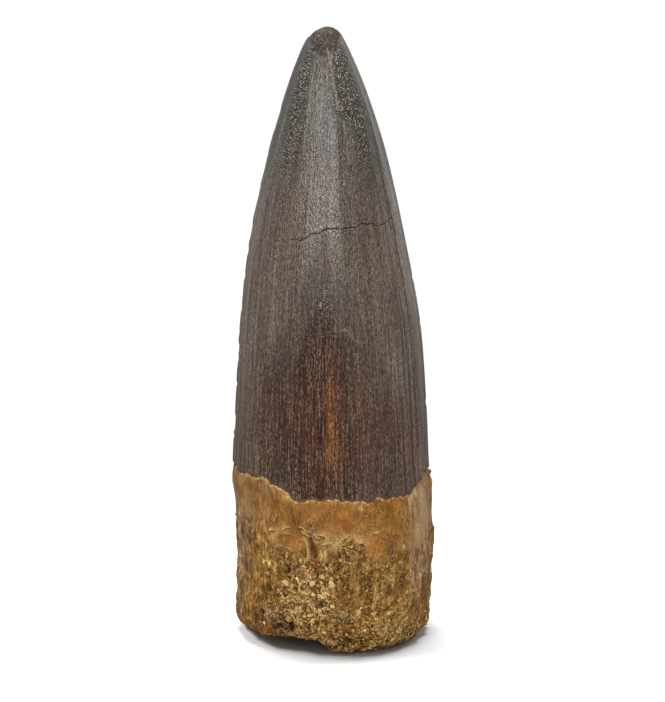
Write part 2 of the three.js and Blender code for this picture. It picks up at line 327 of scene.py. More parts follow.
def cells(point, size):
    """Distances to the nearest and the next of scattered centres, and the nearest one's own value."""
    at = [np.asarray(p, float) / size for p in point]
    base = [np.floor(a) for a in at]
    first, second, own = (np.full(at[0].shape, far) for far in (9.0, 9.0, 0.0))
    for corner in range(27):
        cell = [b + corner // 3**axis % 3 - 1 for axis, b in enumerate(base)]
        centre = [c + 0.5 + 0.42 * scatter(*np.roll(cell, axis, axis=0)) for axis, c in enumerate(cell)]
        away = np.sqrt(sum((a - c) ** 2 for a, c in zip(at, centre)))
        nearer = away < first
        second = np.where(nearer, first, np.minimum(second, away))
        own = np.where(nearer, scatter(cell[2] + 7, cell[0] - 5, cell[1] + 3), own)
        first = np.minimum(first, away)
    return first, second, own


def crests(point, size):
    """A network of narrow crests, about one size apart, from 0 to 1."""
    return np.clip(1 - np.abs(lumpy(point, size)) / 0.32, 0, 1)


def turn_between(start, end):
    """The shortest way round from one angle to another."""
    return (end - start + 180) % 360 - 180


def round_from(at, angle, z):
    """How far round the tooth a place lies from an angle, in millimetres."""
    return turn_between(at, angle) * np.radians(half_width(z))


def near(away):
    """1 at nothing away, fading to almost nothing at two."""
    return np.exp(-(away**2))


def stroke(points, angle, z):
    """How far places lie from a drawn line, and how far above it, in millimetres."""
    round_ = np.radians(half_width(z))
    nearest, above = 99.0, 0.0
    for (start_angle, start_z), (end_angle, end_z) in zip(points, points[1:]):
        ax, ay = turn_between(angle, start_angle) * round_, start_z - z
        bx, by = turn_between(start_angle, end_angle) * round_, end_z - start_z
        share = np.clip(-(ax * bx + ay * by) / (bx * bx + by * by), 0, 1)
        x, y = ax + share * bx, ay + share * by
        away = np.hypot(x, y)
        above = np.where(away < nearest, -y, above)
        nearest = np.minimum(nearest, away)
    return nearest, above


def below_tip(z):
    """Root of the distance below the tip, so that the rows round its nose lie evenly."""
    return np.sqrt(np.maximum(HEIGHT - z, 0))


def half_width(z):
    """Half the tooth's width without the two cutting ridges."""
    return along(OUTLINE, below_tip(z)) - CARINA_RISE * smoothstep(0, 3, below_tip(z))


def enamel_edge(angle):
    """Height of the enamel's lower edge, with its broad and its small scallops."""
    around = fibre_point(angle, 0)
    nibbled = 0.34 * lumpy(around, 1.5) + 0.26 * lumpy(around, 0.8) + 0.12 * lumpy(around, 0.4)
    return along(ENAMEL_EDGE, angle) + waves(SCALLOPS, angle) + nibbled


def crack_height(angle):
    around = fibre_point(angle, 0)
    return along(CRACK_LINE, angle) + 0.2 * lumpy(around, 1.5) + 0.22 * lumpy(around, 0.7)


def fibre_point(angle, z):
    """A place along the fibres, in a space where the crown is a plain cylinder."""
    a = np.radians(angle)
    return FIBRE_RADIUS * np.cos(a), FIBRE_RADIUS * np.sin(a), z + 0 * a


def on_surface(angle, z, relief):
    """The point at an angle and height, standing out from the even surface by a relief."""
    a = np.radians(angle)
    ratio = lerp(TIP_DEPTH_RATIO, DEPTH_RATIO, smoothstep(0, 30, HEIGHT - z))
    across = (half_width(z) + relief) * np.cos(a)
    through = (half_width(z) * ratio + relief) * np.sin(a)
    slant = TIP_SLANT * across * np.exp(-(HEIGHT - z) / 4)
    middle = along(OUTLINE, below_tip(z), 2)
    bow = BOW * (np.clip(z, 0, HEIGHT) / HEIGHT) ** BOW_CURVE
    return np.stack([middle + across, bow + through, z + slant], axis=-1)


def carinae(angle, z):
    """The two cutting ridges."""
    rise = CARINA_RISE * smoothstep(0, 3, below_tip(z))
    return sum(rise * near(round_from(side, angle, z) / CARINA_WIDTH) for side in (RIGHT, LEFT))


def features(angle, z):
    """The root's ridges, clumps and pits."""
    total = 0
    for at, height, reach_round, reach_up, lean, rise in FEATURES:
        across = round_from(at, angle, z)
        above = z - height - lean * across
        total = total + rise * near(across / reach_round) * near(above / reach_up)
    return total


def normals_of(points):
    """Outward normals of a grid of points, by its rows (downwards) and columns (round)."""
    down, round_ = np.gradient(points, axis=0), np.gradient(points, axis=1)
    seam = (points[:, 1] - points[:, -2]) / 2
    round_[:, 0], round_[:, -1] = seam, seam
    normal = np.cross(down, round_)
    return normal / np.maximum(np.linalg.norm(normal, axis=2, keepdims=True), 1e-9)


def wrap(name, points, values):
    """A closed mesh from a grid of points in millimetres: a bmesh grid whose corners move there.

    Its first and last columns meet, and its first and last rows close to one point. values are
    numbers or vectors kept per corner as attributes.
    """
    rows, columns = points.shape[0] - 1, points.shape[1] - 1
    bm = bmesh.new()
    bm.loops.layers.uv.new("OFBake")
    bmesh.ops.create_grid(bm, x_segments=columns, y_segments=rows, size=0.5, calc_uvs=True)
    mesh = bpy.data.meshes.new(name)
    bm.to_mesh(mesh)
    bm.free()

    flat = np.empty(len(mesh.vertices) * 3, np.float32)
    mesh.vertices.foreach_get("co", flat)
    place = flat.reshape(-1, 3)
    column = np.rint((place[:, 0] + 0.5) * columns).astype(int)
    row = rows - np.rint((place[:, 1] + 0.5) * rows).astype(int)
    mesh.vertices.foreach_set("co", (points[row, column] * MM).astype(np.float32).ravel())
    for key, value in values.items():
        kind, field = ("FLOAT", "value") if value.ndim == 2 else ("FLOAT_VECTOR", "vector")
        layer = mesh.attributes.new(key, kind, "POINT")
        layer.data.foreach_set(field, value[row, column].astype(np.float32).ravel())

    bm = bmesh.new()
    bm.from_mesh(mesh)
    bmesh.ops.remove_doubles(bm, verts=bm.verts, dist=MERGED)
    bmesh.ops.dissolve_degenerate(bm, dist=COLLAPSED, edges=bm.edges)
    bmesh.ops.recalc_face_normals(bm, faces=bm.faces)
    for face in bm.faces:
        face.smooth = True
    bm.to_mesh(mesh)
    bm.free()
    piece = bpy.data.objects.new(name, mesh)
    bpy.context.scene.collection.objects.link(piece)
    return piece


def fixed(piece, material):
    """The finished piece rides on the tooth, stands for its solid and wears its material."""
    piece.data.materials.append(material)
    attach(piece, BODY)
    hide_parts(TOOTH_NODE)
    return piece


def crown_grid(settings):
    """The crown's points and what its enamel reads: fibres, wear, crack, pits and stains."""
    angle = np.linspace(-180, 180, CROWN_COLUMNS + 1)
    edge, crack = enamel_edge(angle), crack_height(angle)
    rows = []
    for share in np.linspace(0, 1, TIP_ROWS + 1)[:-1] ** 1.5:
        rows.append(HEIGHT - (HEIGHT - crack - CRACK_ROWS[0]) * share)
    rows += [crack + above for above in CRACK_ROWS]
    for share in np.linspace(0, 1, CROWN_ROWS + 1)[1:]:
        rows.append(lerp(crack + CRACK_ROWS[-1], edge, share))
    z = np.array(rows)
    angles = np.broadcast_to(angle, z.shape)

    fibre = fibre_point(angles, z)
    tip = below_tip(z)
    off_crack = z - crack
    crack_open = along(CRACK_OPEN, angles) * np.clip(0.85 + 0.5 * lumpy(fibre, 1.3), 0.5, 1)
    groove = crack_open * near(off_crack / CRACK_HALF_WIDTH)
    shelf = CRACK_SHELF * crack_open * smoothstep(1.2, 0, off_crack) * (off_crack > 0)

    fine = 0.6 * lumpy(fibre, (0.9, 0.9, 16)) + 0.4 * lumpy(fibre, (0.5, 0.5, 7))
    striae = settings.striae_depth / MM * fine * smoothstep(1.2, 4, tip)
    pitted = pitted_bands(angles, z)
    pits = settings.pit_depth / MM * pitted * np.minimum(lumpy(fibre, (0.6, 0.6, 0.8)), 0.2)
    worn = worn_cap(angles, z)
    even = np.moveaxis(on_surface(angles, z, 0), -1, 0)
    wear = settings.wear_depth / MM * worn * (1 - 0.9 * lumpy(even, 0.9) - 0.5 * lumpy(even, 0.45))
    chips = CHIPPED * np.clip(lumpy(fibre, (9, 9, 1.6)), 0, 1) * edge_band(angles, LEFT, z)
    for at, top, bottom, reach, depth in CARINA_CHIPS:
        within = smoothstep(top, top - 0.5, z) * smoothstep(bottom, bottom + 0.15, z)
        chips = chips + depth * near(round_from(at, angles, z) / reach) * within
    base = carinae(angles, z) + waves(FLUTES, angles) * smoothstep(1, 5, tip)
    strip = sum(rise * near(round_from(at, angles, z) / reach) for at, reach, rise in STRIPS)
    broad = 0.05 * lumpy(fibre, (4, 4, 18)) + strip * smoothstep(2, 5, tip)
    relief = base + broad + striae + pits - wear - chips + shelf - CRACK_DEPTH * groove
    points = on_surface(angles, z, relief)

    # Under the edge the enamel's broken face turns in, and the hidden bottom closes inside.
    last = relief[-1]
    under = [on_surface(angle, edge + up, last - inward) for inward, up in ENAMEL_LIP]
    middle = np.array([0.0, 0.0, float(edge.mean()) + 0.4])
    closing = [lerp(middle, under[-1], share) for share in (0.7, 0.4, 0.0)]
    points = np.concatenate([points, np.array(under + closing)])
    added = len(under) + len(closing)

    values = {
        "fibre": np.stack(fibre, axis=-1) * MM,
        "worn": worn,
        "crack": groove,
        "pitted": pitted,
        "low": low_part(angles, z),
        "rim": smoothstep(48, 60, off_middle(angles)) * smoothstep(84, 100, z),
        "high": smoothstep(82, 104, z),
        "side": smoothstep(30, 62, off_middle(angles)),
        "grainy": grainy_part(angles, z),
        "seam": seams(angles, z, fibre),
        "above_edge": z - edge,
    }
    for name, table in CROWN_STAINS.items():
        values[name] = stains(table, angles, z)
    for name, value in values.items():
        values[name] = np.concatenate([value, np.repeat(value[-1:], added, axis=0)])
    return points, values


# Chips in the two cutting ridges, the step beside the worn tip and, below zero, a crumb that stands
# out: angle, top, bottom, reach round, depth.
CARINA_CHIPS = (
    (180, 120.3, 118.2, 3.0, 0.2), (180, 58.9, 55.0, 0.8, 0.34), (180, 57.2, 56.4, 0.6, -0.3),
    (180, 51.2, 49.9, 0.7, 0.22), (180, 44.6, 41.2, 0.8, 0.25), (180, 40.6, 39.6, 0.7, 0.2),
    (180, 96.3, 95.2, 0.6, 0.16), (180, 89.8, 88.9, 0.6, 0.16), (0, 72.4, 71.2, 0.6, 0.14),
    (0, 63, 62.2, 0.6, 0.16), (0, 47.8, 46.2, 0.6, 0.18),
)
CHIPPED = 0.2  # depth of the seeded chips along the left cutting ridge
# Raised and sunken strips along the crown: angle, reach round, rise.
STRIPS = (
    (-151, 0.6, 0.1), (-163, 1.5, -0.1), (-24, 1.1, 0.09), (-13, 1.3, -0.1), (-33, 1.0, -0.05),
    (-40, 0.6, 0.04), (28, 0.9, 0.09), (150, 0.8, 0.1), (163, 1.5, -0.1), (14, 1.4, -0.09),
)
# Patches of stain on the crown: angle, height, reach round, reach up, strength.
CROWN_STAINS = {
    "amber": (
        (-90.2, 52.5, 0.9, 2.4, 0.6), (-90, 47, 0.9, 3.0, 0.7), (-89.6, 42.6, 1.3, 3.0, 0.85),
        (-86, 40.6, 2.2, 2.4, 0.45), (-91, 47, 4, 8, 0.15), (-78, 51, 2.8, 3, 0.2),
        (-111, 66.3, 0.8, 1.6, 0.3), (70, 48, 3, 7, 0.5), (-50, 42, 9, 8, 0.18),
        (-128, 44, 6, 7, 0.08), (112, 40, 2.4, 4, 0.4),
    ),
    "red": (
        (-90, 46, 11, 13, 0.7), (-72, 52, 6, 6, 0.4), (-112, 52, 4, 5, 0.35), (-120, 42, 7, 8, 0.3),
        (-55, 38, 9, 6, 0.4), (90, 46, 12, 13, 0.6),
    ),
    "dark": (
        (-95.4, 45.6, 0.9, 1.8, 0.8), (-94.6, 43, 0.8, 1.4, 0.5), (-113, 39, 2.5, 3.5, 0.6),
        (-103, 58, 2.5, 5, 0.3), (-48, 41, 2, 4, 0.3), (-97, 71, 4.4, 5.4, 0.5),
        (-141, 84, 1.4, 12, 0.4), (-138, 68, 1.3, 8, 0.5), (-131, 55, 1.6, 6, 0.3),
        (-60, 88, 1.4, 13, 0.3), (-76, 84, 0.8, 9, 0.2), (120, 86, 1.6, 14, 0.3),
        (55, 88, 1.5, 13, 0.3), (-45, 114, 1.6, 2.2, 0.8), (-66, 111.5, 0.9, 3.0, 0.5),
        (-118, 112, 1.4, 3.0, 0.6), (60, 55, 3, 6, 0.4), (100, 40, 3, 4, 0.5),
    ),
    "sandy": (
        (180, 58.2, 0.7, 0.9, 1.0), (180, 56.6, 0.8, 0.7, 1.0), (180, 54.9, 0.5, 0.3, 0.6),
        (-95.6, 68.7, 0.22, 0.35, 1.0), (-129, 40.1, 0.18, 0.25, 1.0),
    ),
}


def stains(table, angle, z):
    """The patches of a table, each strongest at its middle, as one share from 0 to 1."""
    total = 0
    for at, height, reach_round, reach_up, strength in table:
        spot = near(round_from(at, angle, z) / reach_round) * near((z - height) / reach_up)
        total = total + strength * spot
    return np.clip(total, 0, 1)


# Half width of the band along a cutting ridge that can be chipped, and the heights over which it
# begins and ends.
EDGE_REACH, EDGE_BEGIN, EDGE_END = 0.8, (36, 42), (112, 100)


def edge_band(angle, side, z):
    """1 along one cutting ridge, fading away from it and towards both ends of the crown."""
    ends = smoothstep(*EDGE_BEGIN, z) * smoothstep(*EDGE_END, z)
    return near(round_from(side, angle, z) / EDGE_REACH) * ends


def off_middle(angle):
    """How far round a place lies from the middle of its own face, 0 to 90."""
    across = np.abs(turn_between(FRONT, angle)) % 180
    return np.minimum(across, 180 - across)


# The pitted bands beside the tip: the heights over which they begin and end, the angles off the
# middle over which they fade outwards, and their inner sides. Above a height, the clockwise band of
# each face reaches further in.
PITS_BEGIN, PITS_END, PITS_OUTER = (82, 105), (117.5, 115.5), (65, 46)
PITS_INNER, PITS_INNER_HIGH, PITS_WIDEN = 30, 9, (101, 106)


def pitted_bands(angle, z):
    """Two bands of coarse pits on each face, which flank the tip's middle."""
    fibre = fibre_point(angle, z)
    ragged = 5 * lumpy(fibre, (2.5, 2.5, 6)) + 4 * lumpy(fibre, (0.9, 0.9, 2))
    off = off_middle(angle) + ragged
    clockwise = turn_between(FRONT, angle) % 180 < 90
    reaching = lerp(PITS_INNER, PITS_INNER_HIGH, smoothstep(*PITS_WIDEN, z))
    inner = lerp(PITS_INNER, reaching, clockwise)
    along_tip = smoothstep(*PITS_BEGIN, z + 0.3 * ragged) * smoothstep(*PITS_END, z)
    return along_tip * smoothstep(inner - 8, inner + 7, off) * smoothstep(*PITS_OUTER, off)


# The darker lower crown: angle, height where it begins, strength.
LOW_PART = (
    (-180, 62, 0.3), (-164, 64, 0.35), (-146, 66, 0.55), (-126, 67, 0.72), (-114, 70, 0.85),
    (-106, 79, 0.95), (-97, 84, 1), (-88, 83, 1), (-80, 76, 0.88), (-70, 68, 0.64), (-54, 63, 0.5),
    (-36, 60, 0.46), (-16, 58, 0.38), (0, 58, 0.3), (20, 60, 0.4), (45, 66, 0.7), (70, 74, 0.95),
    (90, 80, 1), (108, 76, 0.95), (135, 68, 0.7), (160, 64, 0.4), (180, 62, 0.3),
)
LOW_FADE = 21  # height over which the dark of the lower crown comes in


def low_part(angle, z):
    """1 on the darker lower crown, which starts higher on the middle of a face than at its sides."""
    fibre = fibre_point(angle, z)
    ragged = 3 * lumpy(fibre, (6, 6, 14)) + 2 * lumpy(fibre, (2, 2, 9))
    top = along(LOW_PART, angle)
    return along(LOW_PART, angle, 2) * smoothstep(top, top - LOW_FADE, z + ragged)


def grainy_part(angle, z):
    """1 where the enamel is grainy rather than lengthwise: near the tip and down each middle."""
    middle = near(off_middle(angle) / 20) * smoothstep(44, 66, z)
    return np.clip(smoothstep(74, 98, z) + 0.8 * middle, 0, 1)


# Lowest height of the worn cap at the middle of a face and at the ridges, and how it rises between.
CAP_MIDDLE, CAP_RIDGES, CAP_RISE = 114.7, 118.6, 6.5


def worn_cap(angle, z):
    """The tip's worn cap, which reaches further down on the two faces than on the ridges."""
    fibre = fibre_point(angle, z)
    ragged = 0.5 * lumpy(fibre, (3, 3, 1.5)) + 0.25 * lumpy(fibre, 0.9)
    rising = CAP_MIDDLE + CAP_RISE * (1 - np.cos(np.radians(off_middle(angle))))
    return smoothstep(-0.7, 0.5, z + ragged - np.minimum(CAP_RIDGES, rising))


# Thin pale lines on the enamel: points as angle and height, half width, strength.
SEAMS = (
    (((-112, 113.6), (-112.5, 111.2), (-113, 107.1), (-113.6, 103.3), (-114.4, 98.3)), 0.15, 0.6),
    (((-83.2, 116), (-77.6, 113), (-78.2, 110.6), (-75.5, 108.1), (-74.7, 105.1)), 0.19, 0.9),
    (((-69.8, 102.9), (-68, 99.2), (-67.8, 94.6)), 0.19, 0.6),
    (((-87.2, 64.6), (-79.9, 64), (-75.1, 62.6), (-69.5, 61.2)), 0.16, 0.6),
    (((-108.4, 60.5), (-89.8, 64), (-77.3, 64.1)), 0.16, 0.3),
    (((84, 113), (81, 108), (79, 101)), 0.14, 0.7),
    (((102, 112), (106, 105), (104, 97)), 0.14, 0.6),
)


def seams(angle, z, fibre):
    """The thin pale lines, wavering a little, as one share from 0 to 1."""
    total = 0
    for points, half, strength in SEAMS:
        away, _ = stroke(points, angle + 1.2 * lumpy(fibre, (2, 2, 1.6)), z)
        total = np.maximum(total, strength * near(away / half))
    return total


def root_grid(settings):
    """The root's points and what its materials read: crust, fibres, relief and underside."""
    angle = np.linspace(-180, 180, ROOT_COLUMNS + 1)
    edge = enamel_edge(angle)
    rim = RIM_HEIGHT + along(RIM_LIFT, angle)
    bare = lerp(edge + BARE_TOP, CRUST_TOP, np.linspace(0, 1, BARE_ROWS + 1)[:-1, None])
    z = np.concatenate([bare, lerp(CRUST_TOP, rim, np.linspace(0, 1, CRUST_ROWS + 1)[:, None])])
    angles = np.broadcast_to(angle, z.shape)
    place = np.moveaxis(on_surface(angles, z, 0), -1, 0)
    fibre = fibre_point(angles, z)
    fibrous = fibrous_bands(angles, z)
    crusted = smoothstep(0, CRUST_SLOPE, along(CRUST_EDGE, angles) + 0.5 * lumpy(place, 1.5) - z)
    covered = crust_cover(angles, z, place)

    # Broad relief, as on the solid, then the broken edges of the outer layer and the fibres.
    lumps = sum(rise * lumpy(place, size) for size, rise in LUMPS) * (1 - 0.6 * fibrous)
    relief = -ENAMEL * (1 - smoothstep(4, 16, edge - z)) + crusted * lumps + carinae(angles, z)
    relief = relief + features(angles, z)
    # ledge marks each broken edge's crest and the raised fibres, which the material paints pale, partly
    # as painted highlight; shadow marks the hollow under each edge and the grooves, which it paints
    # dark as painted shadow.
    ledge = np.zeros(z.shape)
    shadow = np.zeros(z.shape)
    ragged = 0.3 * lumpy(fibre, 1.1) + 0.3 * lumpy(fibre, 0.5)
    uneven = np.clip(0.7 + 0.9 * lumpy(fibre, 1.3) + 0.5 * lumpy(fibre, 0.5), 0, 1.3)
    for line, rise, reach in LEDGES:
        away, above = stroke(line, angles, z + ragged)
        lifted = np.where(above > 0, np.exp(-(away / reach)), near(away / LEDGE_FACE))
        under = (above < 0) * near((away - LEDGE_UNDER) / 0.18)
        relief = relief + rise * uneven * (lifted - LEDGE_UNDERCUT * under)
        crest = uneven * near((away - 0.04) / 0.2)
        strength = np.minimum(rise / 0.3, 1)
        ledge = np.maximum(ledge, strength * crest)
        shadow = np.maximum(shadow, strength * uneven * under)
    for line, rise, reach in FIBRES:
        away, _ = stroke(line, angles + 0.5 * lumpy(fibre, (3, 3, 1.2)), z)
        ridge = near(away / reach)
        relief = relief + rise * ridge
        if rise > 0:
            ledge = np.maximum(ledge, min(1.0, 1.5 * rise) * ridge)
        else:
            shadow = np.maximum(shadow, -1.2 * rise * ridge)
    flake = left_flake(angles, z, fibre)
    relief = relief + FLAKE_RISE * flake
    waxy = 0.06 * lumpy(place, 4.5) + 0.03 * lumpy(place, (1.2, 1.2, 2.2)) + 0.015 * lumpy(place, 0.6)
    drawn = 0.15 * lumpy(fibre, (0.9, 0.9, 8)) + 0.12 * lumpy(fibre, (0.5, 0.5, 3.5))
    relief = relief + fibrous * drawn + (1 - covered) * waxy
    points = [on_surface(angles, z, relief)]

    side = points[0][-1]
    floor = underside_height(side * RIM_INSET, angle, 1)
    for turn in np.linspace(0, np.pi / 2, RIM_ROWS + 1)[1:]:
        row = side * lerp(RIM_INSET, 1, math.cos(turn))
        row[:, 2] = lerp(side[:, 2], floor, math.sin(turn))
        points.append(row[None])
    for share in np.linspace(1, 0, UNDERSIDE_ROWS + 1)[1:]:
        row = side * RIM_INSET * share
        row[:, 2] = underside_height(row, angle, share)
        points.append(row[None])
    points = np.concatenate(points)
    added = len(points) - len(z)

    def carried(value, below=None):
        """A value of the side's rows, carried on over the rim and the underside."""
        last = value[-1:] if below is None else np.full_like(value[-1:], below)
        return np.concatenate([value] + [last] * added)

    covered, fibrous = carried(covered, 1), carried(fibrous)
    place = np.moveaxis(points, -1, 0)
    warped = [p + 0.5 * lumpy(np.roll(place, turn, axis=0), 1.2) for turn, p in enumerate(place)]
    granular = smoothstep(-0.2, 0.3, lumpy(place, 5.0) + 0.35 * smoothstep(14, 5, place[2]) - 0.1)
    closest, next_closest, grain_tone = cells(warped, 0.9)
    grain = smoothstep(0.0, 0.3, next_closest - closest) * (0.7 + 0.6 * grain_tone)
    net = crests(warped, (1.5, 1.5, 3.2)) + 0.7 * crests(warped, (0.8, 0.8, 1.3))
    crest = lerp(0.75 * net, 0.6 * grain + 0.4 * net, granular)
    fine = 0.6 * lumpy(place, 0.55) + 0.4 * lumpy(place, 0.36)
    broad = 0.34 * lumpy(warped, (1.9, 1.9, 3.4)) + 0.22 * lumpy(place, 1.0)
    hollow = stains(HOLLOWS, np.broadcast_to(angle, covered.shape), place[2])
    hollow = smoothstep(0.25, 0.75, hollow * (1 + 0.9 * lumpy(place, 0.9)))
    rough = settings.grain_rise / MM * (crest - 0.65) * (1 - 0.9 * fibrous)
    broad, fine = broad * (1 - 0.8 * fibrous), fine * (1 - 0.6 * fibrous)
    rough = covered * (rough + broad + settings.fine_rise / MM * fine - 0.45 * hollow)
    points = points + normals_of(points) * rough[..., None]
    points[..., 2] = np.maximum(points[..., 2], 0)

    # The hidden top closes inside the crown.
    centre = np.array([0.0, 0.0, float(edge.mean()) + 2.0])
    inner = [lerp(centre, points[0] + (0, 0, 0.5), share)[None] for share in (0.0, 0.5)]
    points = np.concatenate(inner + [points])

    def whole(value):
        return np.concatenate([value[:1]] * len(inner) + [value])

    angles = np.broadcast_to(angle, points.shape[:2])
    fibre = np.stack(fibre_point(angles, points[..., 2]), axis=-1)
    values = {
        "fibre": fibre * MM,
        "crust": whole(covered),
        "fibrous": whole(fibrous),
        # crest: the relief's height, which the material turns into tone, high places paler and low ones
        # darker, as painted highlight and shade.
        "crest": whole(crest + 0.5 * broad + 0.15 * fine),
        "hollow": whole(hollow * covered),
        "ledge": whole(carried(ledge, 0)),
        "shadow": whole(carried(shadow, 0)),
        "flake": whole(carried(flake, 0)),
        "below_edge": whole(carried(edge - z, 30)),
    }
    for name, table in ROOT_STAINS.items():
        values[name] = stains(table, angles, points[..., 2])
    return points, values


def left_flake(angle, z, fibre):
    """1 on the thin crust left between the enamel's upper left edge and a drawn line below it."""
    line = along(LEFT_CRUST, angle) + 0.2 * lumpy(fibre, 0.8)
    there = smoothstep(*FLAKE_BEGIN, angle) * smoothstep(*FLAKE_END, angle)
    return there * smoothstep(-0.05, 0.12, z - line)


# Stains of the root: angle, height, reach round, reach up, strength.
ROOT_STAINS = {
    "red": (
        (-100.4, 18.9, 0.7, 0.7, 1.0), (-100.9, 20.4, 0.7, 0.9, 0.6), (-132, 4.1, 1.3, 0.9, 0.8),
        (-21.2, 10, 0.7, 3.2, 0.3), (-84, 5.5, 1.6, 0.8, 0.4), (60, 26, 8, 3, 0.4),
        (120, 8, 3, 3, 0.4),
    ),
    "orange": (
        (-83.3, 29, 2.8, 1.3, 0.9), (-87.8, 26.6, 1.8, 1.0, 0.8), (-80, 26.4, 2.2, 1.0, 0.6),
        (-99, 28, 2.4, 1.6, 0.5), (-70.5, 22.4, 1.4, 1.8, 0.9), (-65, 22.6, 2.6, 1.3, 0.6),
        (-67.6, 20.4, 1.2, 1.2, 0.9), (-54, 29.4, 1.8, 1.4, 0.5), (-48, 25.6, 2.0, 2.2, 0.4),
        (-123, 28.4, 3, 2.6, 0.5), (-121, 23.4, 2.6, 0.7, 0.5), (-108.4, 21.6, 1.0, 1.6, 0.6),
        (-105.3, 21.4, 0.5, 1.8, 0.9), (-80.5, 22.6, 3.2, 1.4, 0.9), (-98.4, 24, 2, 1, 0.6),
        (-14, 29, 1.6, 3, 0.6), (-143, 7.3, 1.6, 2.2, 0.8), (-92, 6.5, 1.4, 1.5, 0.5),
        (-73, 6.5, 2.2, 2, 0.6), (60, 26, 6, 2, 0.6), (105, 27, 4, 2, 0.6), (100, 9, 4, 3, 0.5),
    ),
    "pale": (
        (-106, 12.6, 4, 2.4, 0.6), (-81, 22.6, 2.8, 1.4, 1.0), (-98.4, 24, 1.6, 0.8, 0.8),
        (-131, 17.5, 2.2, 3, 0.4), (-104, 7.5, 3.4, 2.6, 0.3), (-72, 11.5, 1.4, 2.2, 0.45),
        (-57, 8.5, 1.8, 2, 0.4), (-45, 9.5, 1.6, 1.8, 0.45), (-48, 4.8, 2.6, 1.2, 0.6),
        (-94, 3.4, 3, 0.9, 0.5), (-63, 18, 1.4, 1.2, 0.4), (-95.9, 12.6, 0.35, 0.8, 0.7),
        (-56.3, 8.2, 0.8, 0.6, 0.8), (-41.8, 6, 0.7, 0.5, 0.8), (-66, 11.7, 0.3, 1.5, 0.5),
        (-98.1, 20.2, 0.3, 1.0, 0.6), (-95.5, 20.7, 0.25, 1.0, 0.6), (-64.5, 24.55, 0.5, 0.15, 1.0),
        (-45.8, 20.7, 0.3, 0.4, 0.9), (-39, 31.8, 0.35, 1.0, 0.8), (-36, 31.4, 0.2, 0.6, 0.8),
        (-28, 33.2, 0.25, 0.7, 0.7), (-38, 29.2, 0.3, 1.4, 1.0), (-35.5, 30.2, 0.25, 1.2, 1.0),
        (-40.6, 33, 0.3, 0.7, 1.0), (-33.6, 27.2, 0.25, 0.9, 0.9), (-30, 30.6, 0.25, 0.8, 0.8),
        (-33, 31, 1.0, 1.2, 0.6), (-23, 29.6, 1.6, 1.8, 0.5), (-116.5, 31.5, 0.6, 0.25, 0.9),
        (-113.8, 31.1, 0.35, 0.3, 0.9), (-73.4, 29.6, 0.4, 0.7, 0.5), (70, 14, 4, 4, 0.5),
    ),
    "grey": (
        (-20, 28, 4, 5, 0.8), (-17, 16, 2, 8, 0.4), (-27, 20, 4, 9, 0.4), (-30, 23, 2.2, 2.6, 0.8),
        (-35, 15.5, 1.2, 4, 0.7), (-24, 17, 1.0, 4, 0.5), (-128.6, 7.9, 2, 1.6, 0.7),
        (-83, 7.5, 1.3, 1.2, 0.6), (-88.3, 8.4, 1, 0.9, 0.6), (-104.5, 16.3, 0.7, 0.6, 0.6),
        (-166, 19, 2.4, 10, 0.7), (-151, 22, 2.0, 6, 0.4), (-152, 27, 2.5, 4, 0.4),
        (-112, 18, 2.2, 0.8, 0.5), (95, 9, 4, 4, 0.4), (30, 18, 3, 6, 0.5),
    ),
    "dark": (
        (-120, 5.6, 3.2, 2.0, 1.0), (-132, 10, 2.4, 3, 0.4), (-152, 20, 4, 7, 0.15),
        (-90, 20.3, 1.4, 1.0, 0.7), (-88.6, 17, 0.8, 1.8, 0.6), (-84, 6.6, 1.8, 1.4, 0.5),
        (-70, 9, 1.2, 1.6, 0.25), (-88, 2, 2.4, 1, 0.6), (-76, 16, 2.6, 2, 0.25),
        (-117, 27, 3, 1.2, 0.5), (-93, 27.4, 4, 0.9, 0.35), (-92.3, 20.6, 0.8, 0.9, 0.8),
        (-83.3, 15.8, 0.7, 2.6, 0.5), (-69.4, 15.4, 0.5, 2.6, 0.2), (-116.5, 17.2, 1.8, 0.5, 0.7),
        (-82, 22.1, 1.2, 0.25, 0.9), (-130, 22.7, 0.6, 0.25, 0.7), (-4, 33, 0.5, 0.5, 0.7),
        (-100, 4.2, 5, 0.7, 0.6), (-84, 3.2, 3.5, 1.3, 0.6), (-118, 11.8, 1, 0.8, 0.3),
        (50, 16, 1.2, 4, 0.5),
    ),
}
# Hollows of the crust, sunk into it and painted near black as shade: angle, height, reach round, reach
# up, strength.
HOLLOWS = (
    (-119.6, 5.1, 2.0, 0.9, 1.2), (-125.6, 5.3, 0.8, 0.6, 1.1), (-115.6, 6.1, 0.6, 0.6, 1.1),
    (-112.4, 13.4, 0.4, 0.3, 1.1), (-108.1, 13.6, 0.35, 0.25, 1.0), (-137.3, 7.4, 0.4, 0.7, 1.2),
    (-133, 10, 0.3, 0.4, 1.0), (-110.6, 10.2, 0.5, 0.3, 1.0), (-103.6, 4.4, 0.6, 0.4, 1.0),
    (-81, 3.3, 1.2, 0.6, 0.9), (60, 9, 1.6, 1.2, 0.9), (104, 6, 1.4, 1, 0.9),
)


def crust_cover(angle, z, place):
    """1 where the root is crusted with sand, 0 where it is bare, with a ragged edge between."""
    ragged = 0.7 * lumpy(place, 1.6) + 0.6 * lumpy(place, 0.8) + 0.4 * lumpy(place, 0.4)
    islands = sum(
        strength * near(round_from(at, angle, z) / reach_round) * near((z - height) / reach_up)
        for at, height, reach_round, reach_up, strength in CRUST_ISLANDS
    )
    fibrous = fibrous_bands(angle, z)
    inside = np.minimum(along(COVER_EDGE, angle) - z, 3) + ragged * (1 - 0.7 * fibrous) + 4 * islands
    return smoothstep(-0.4 - 2.5 * fibrous, 0.8 + 2.2 * fibrous, inside)


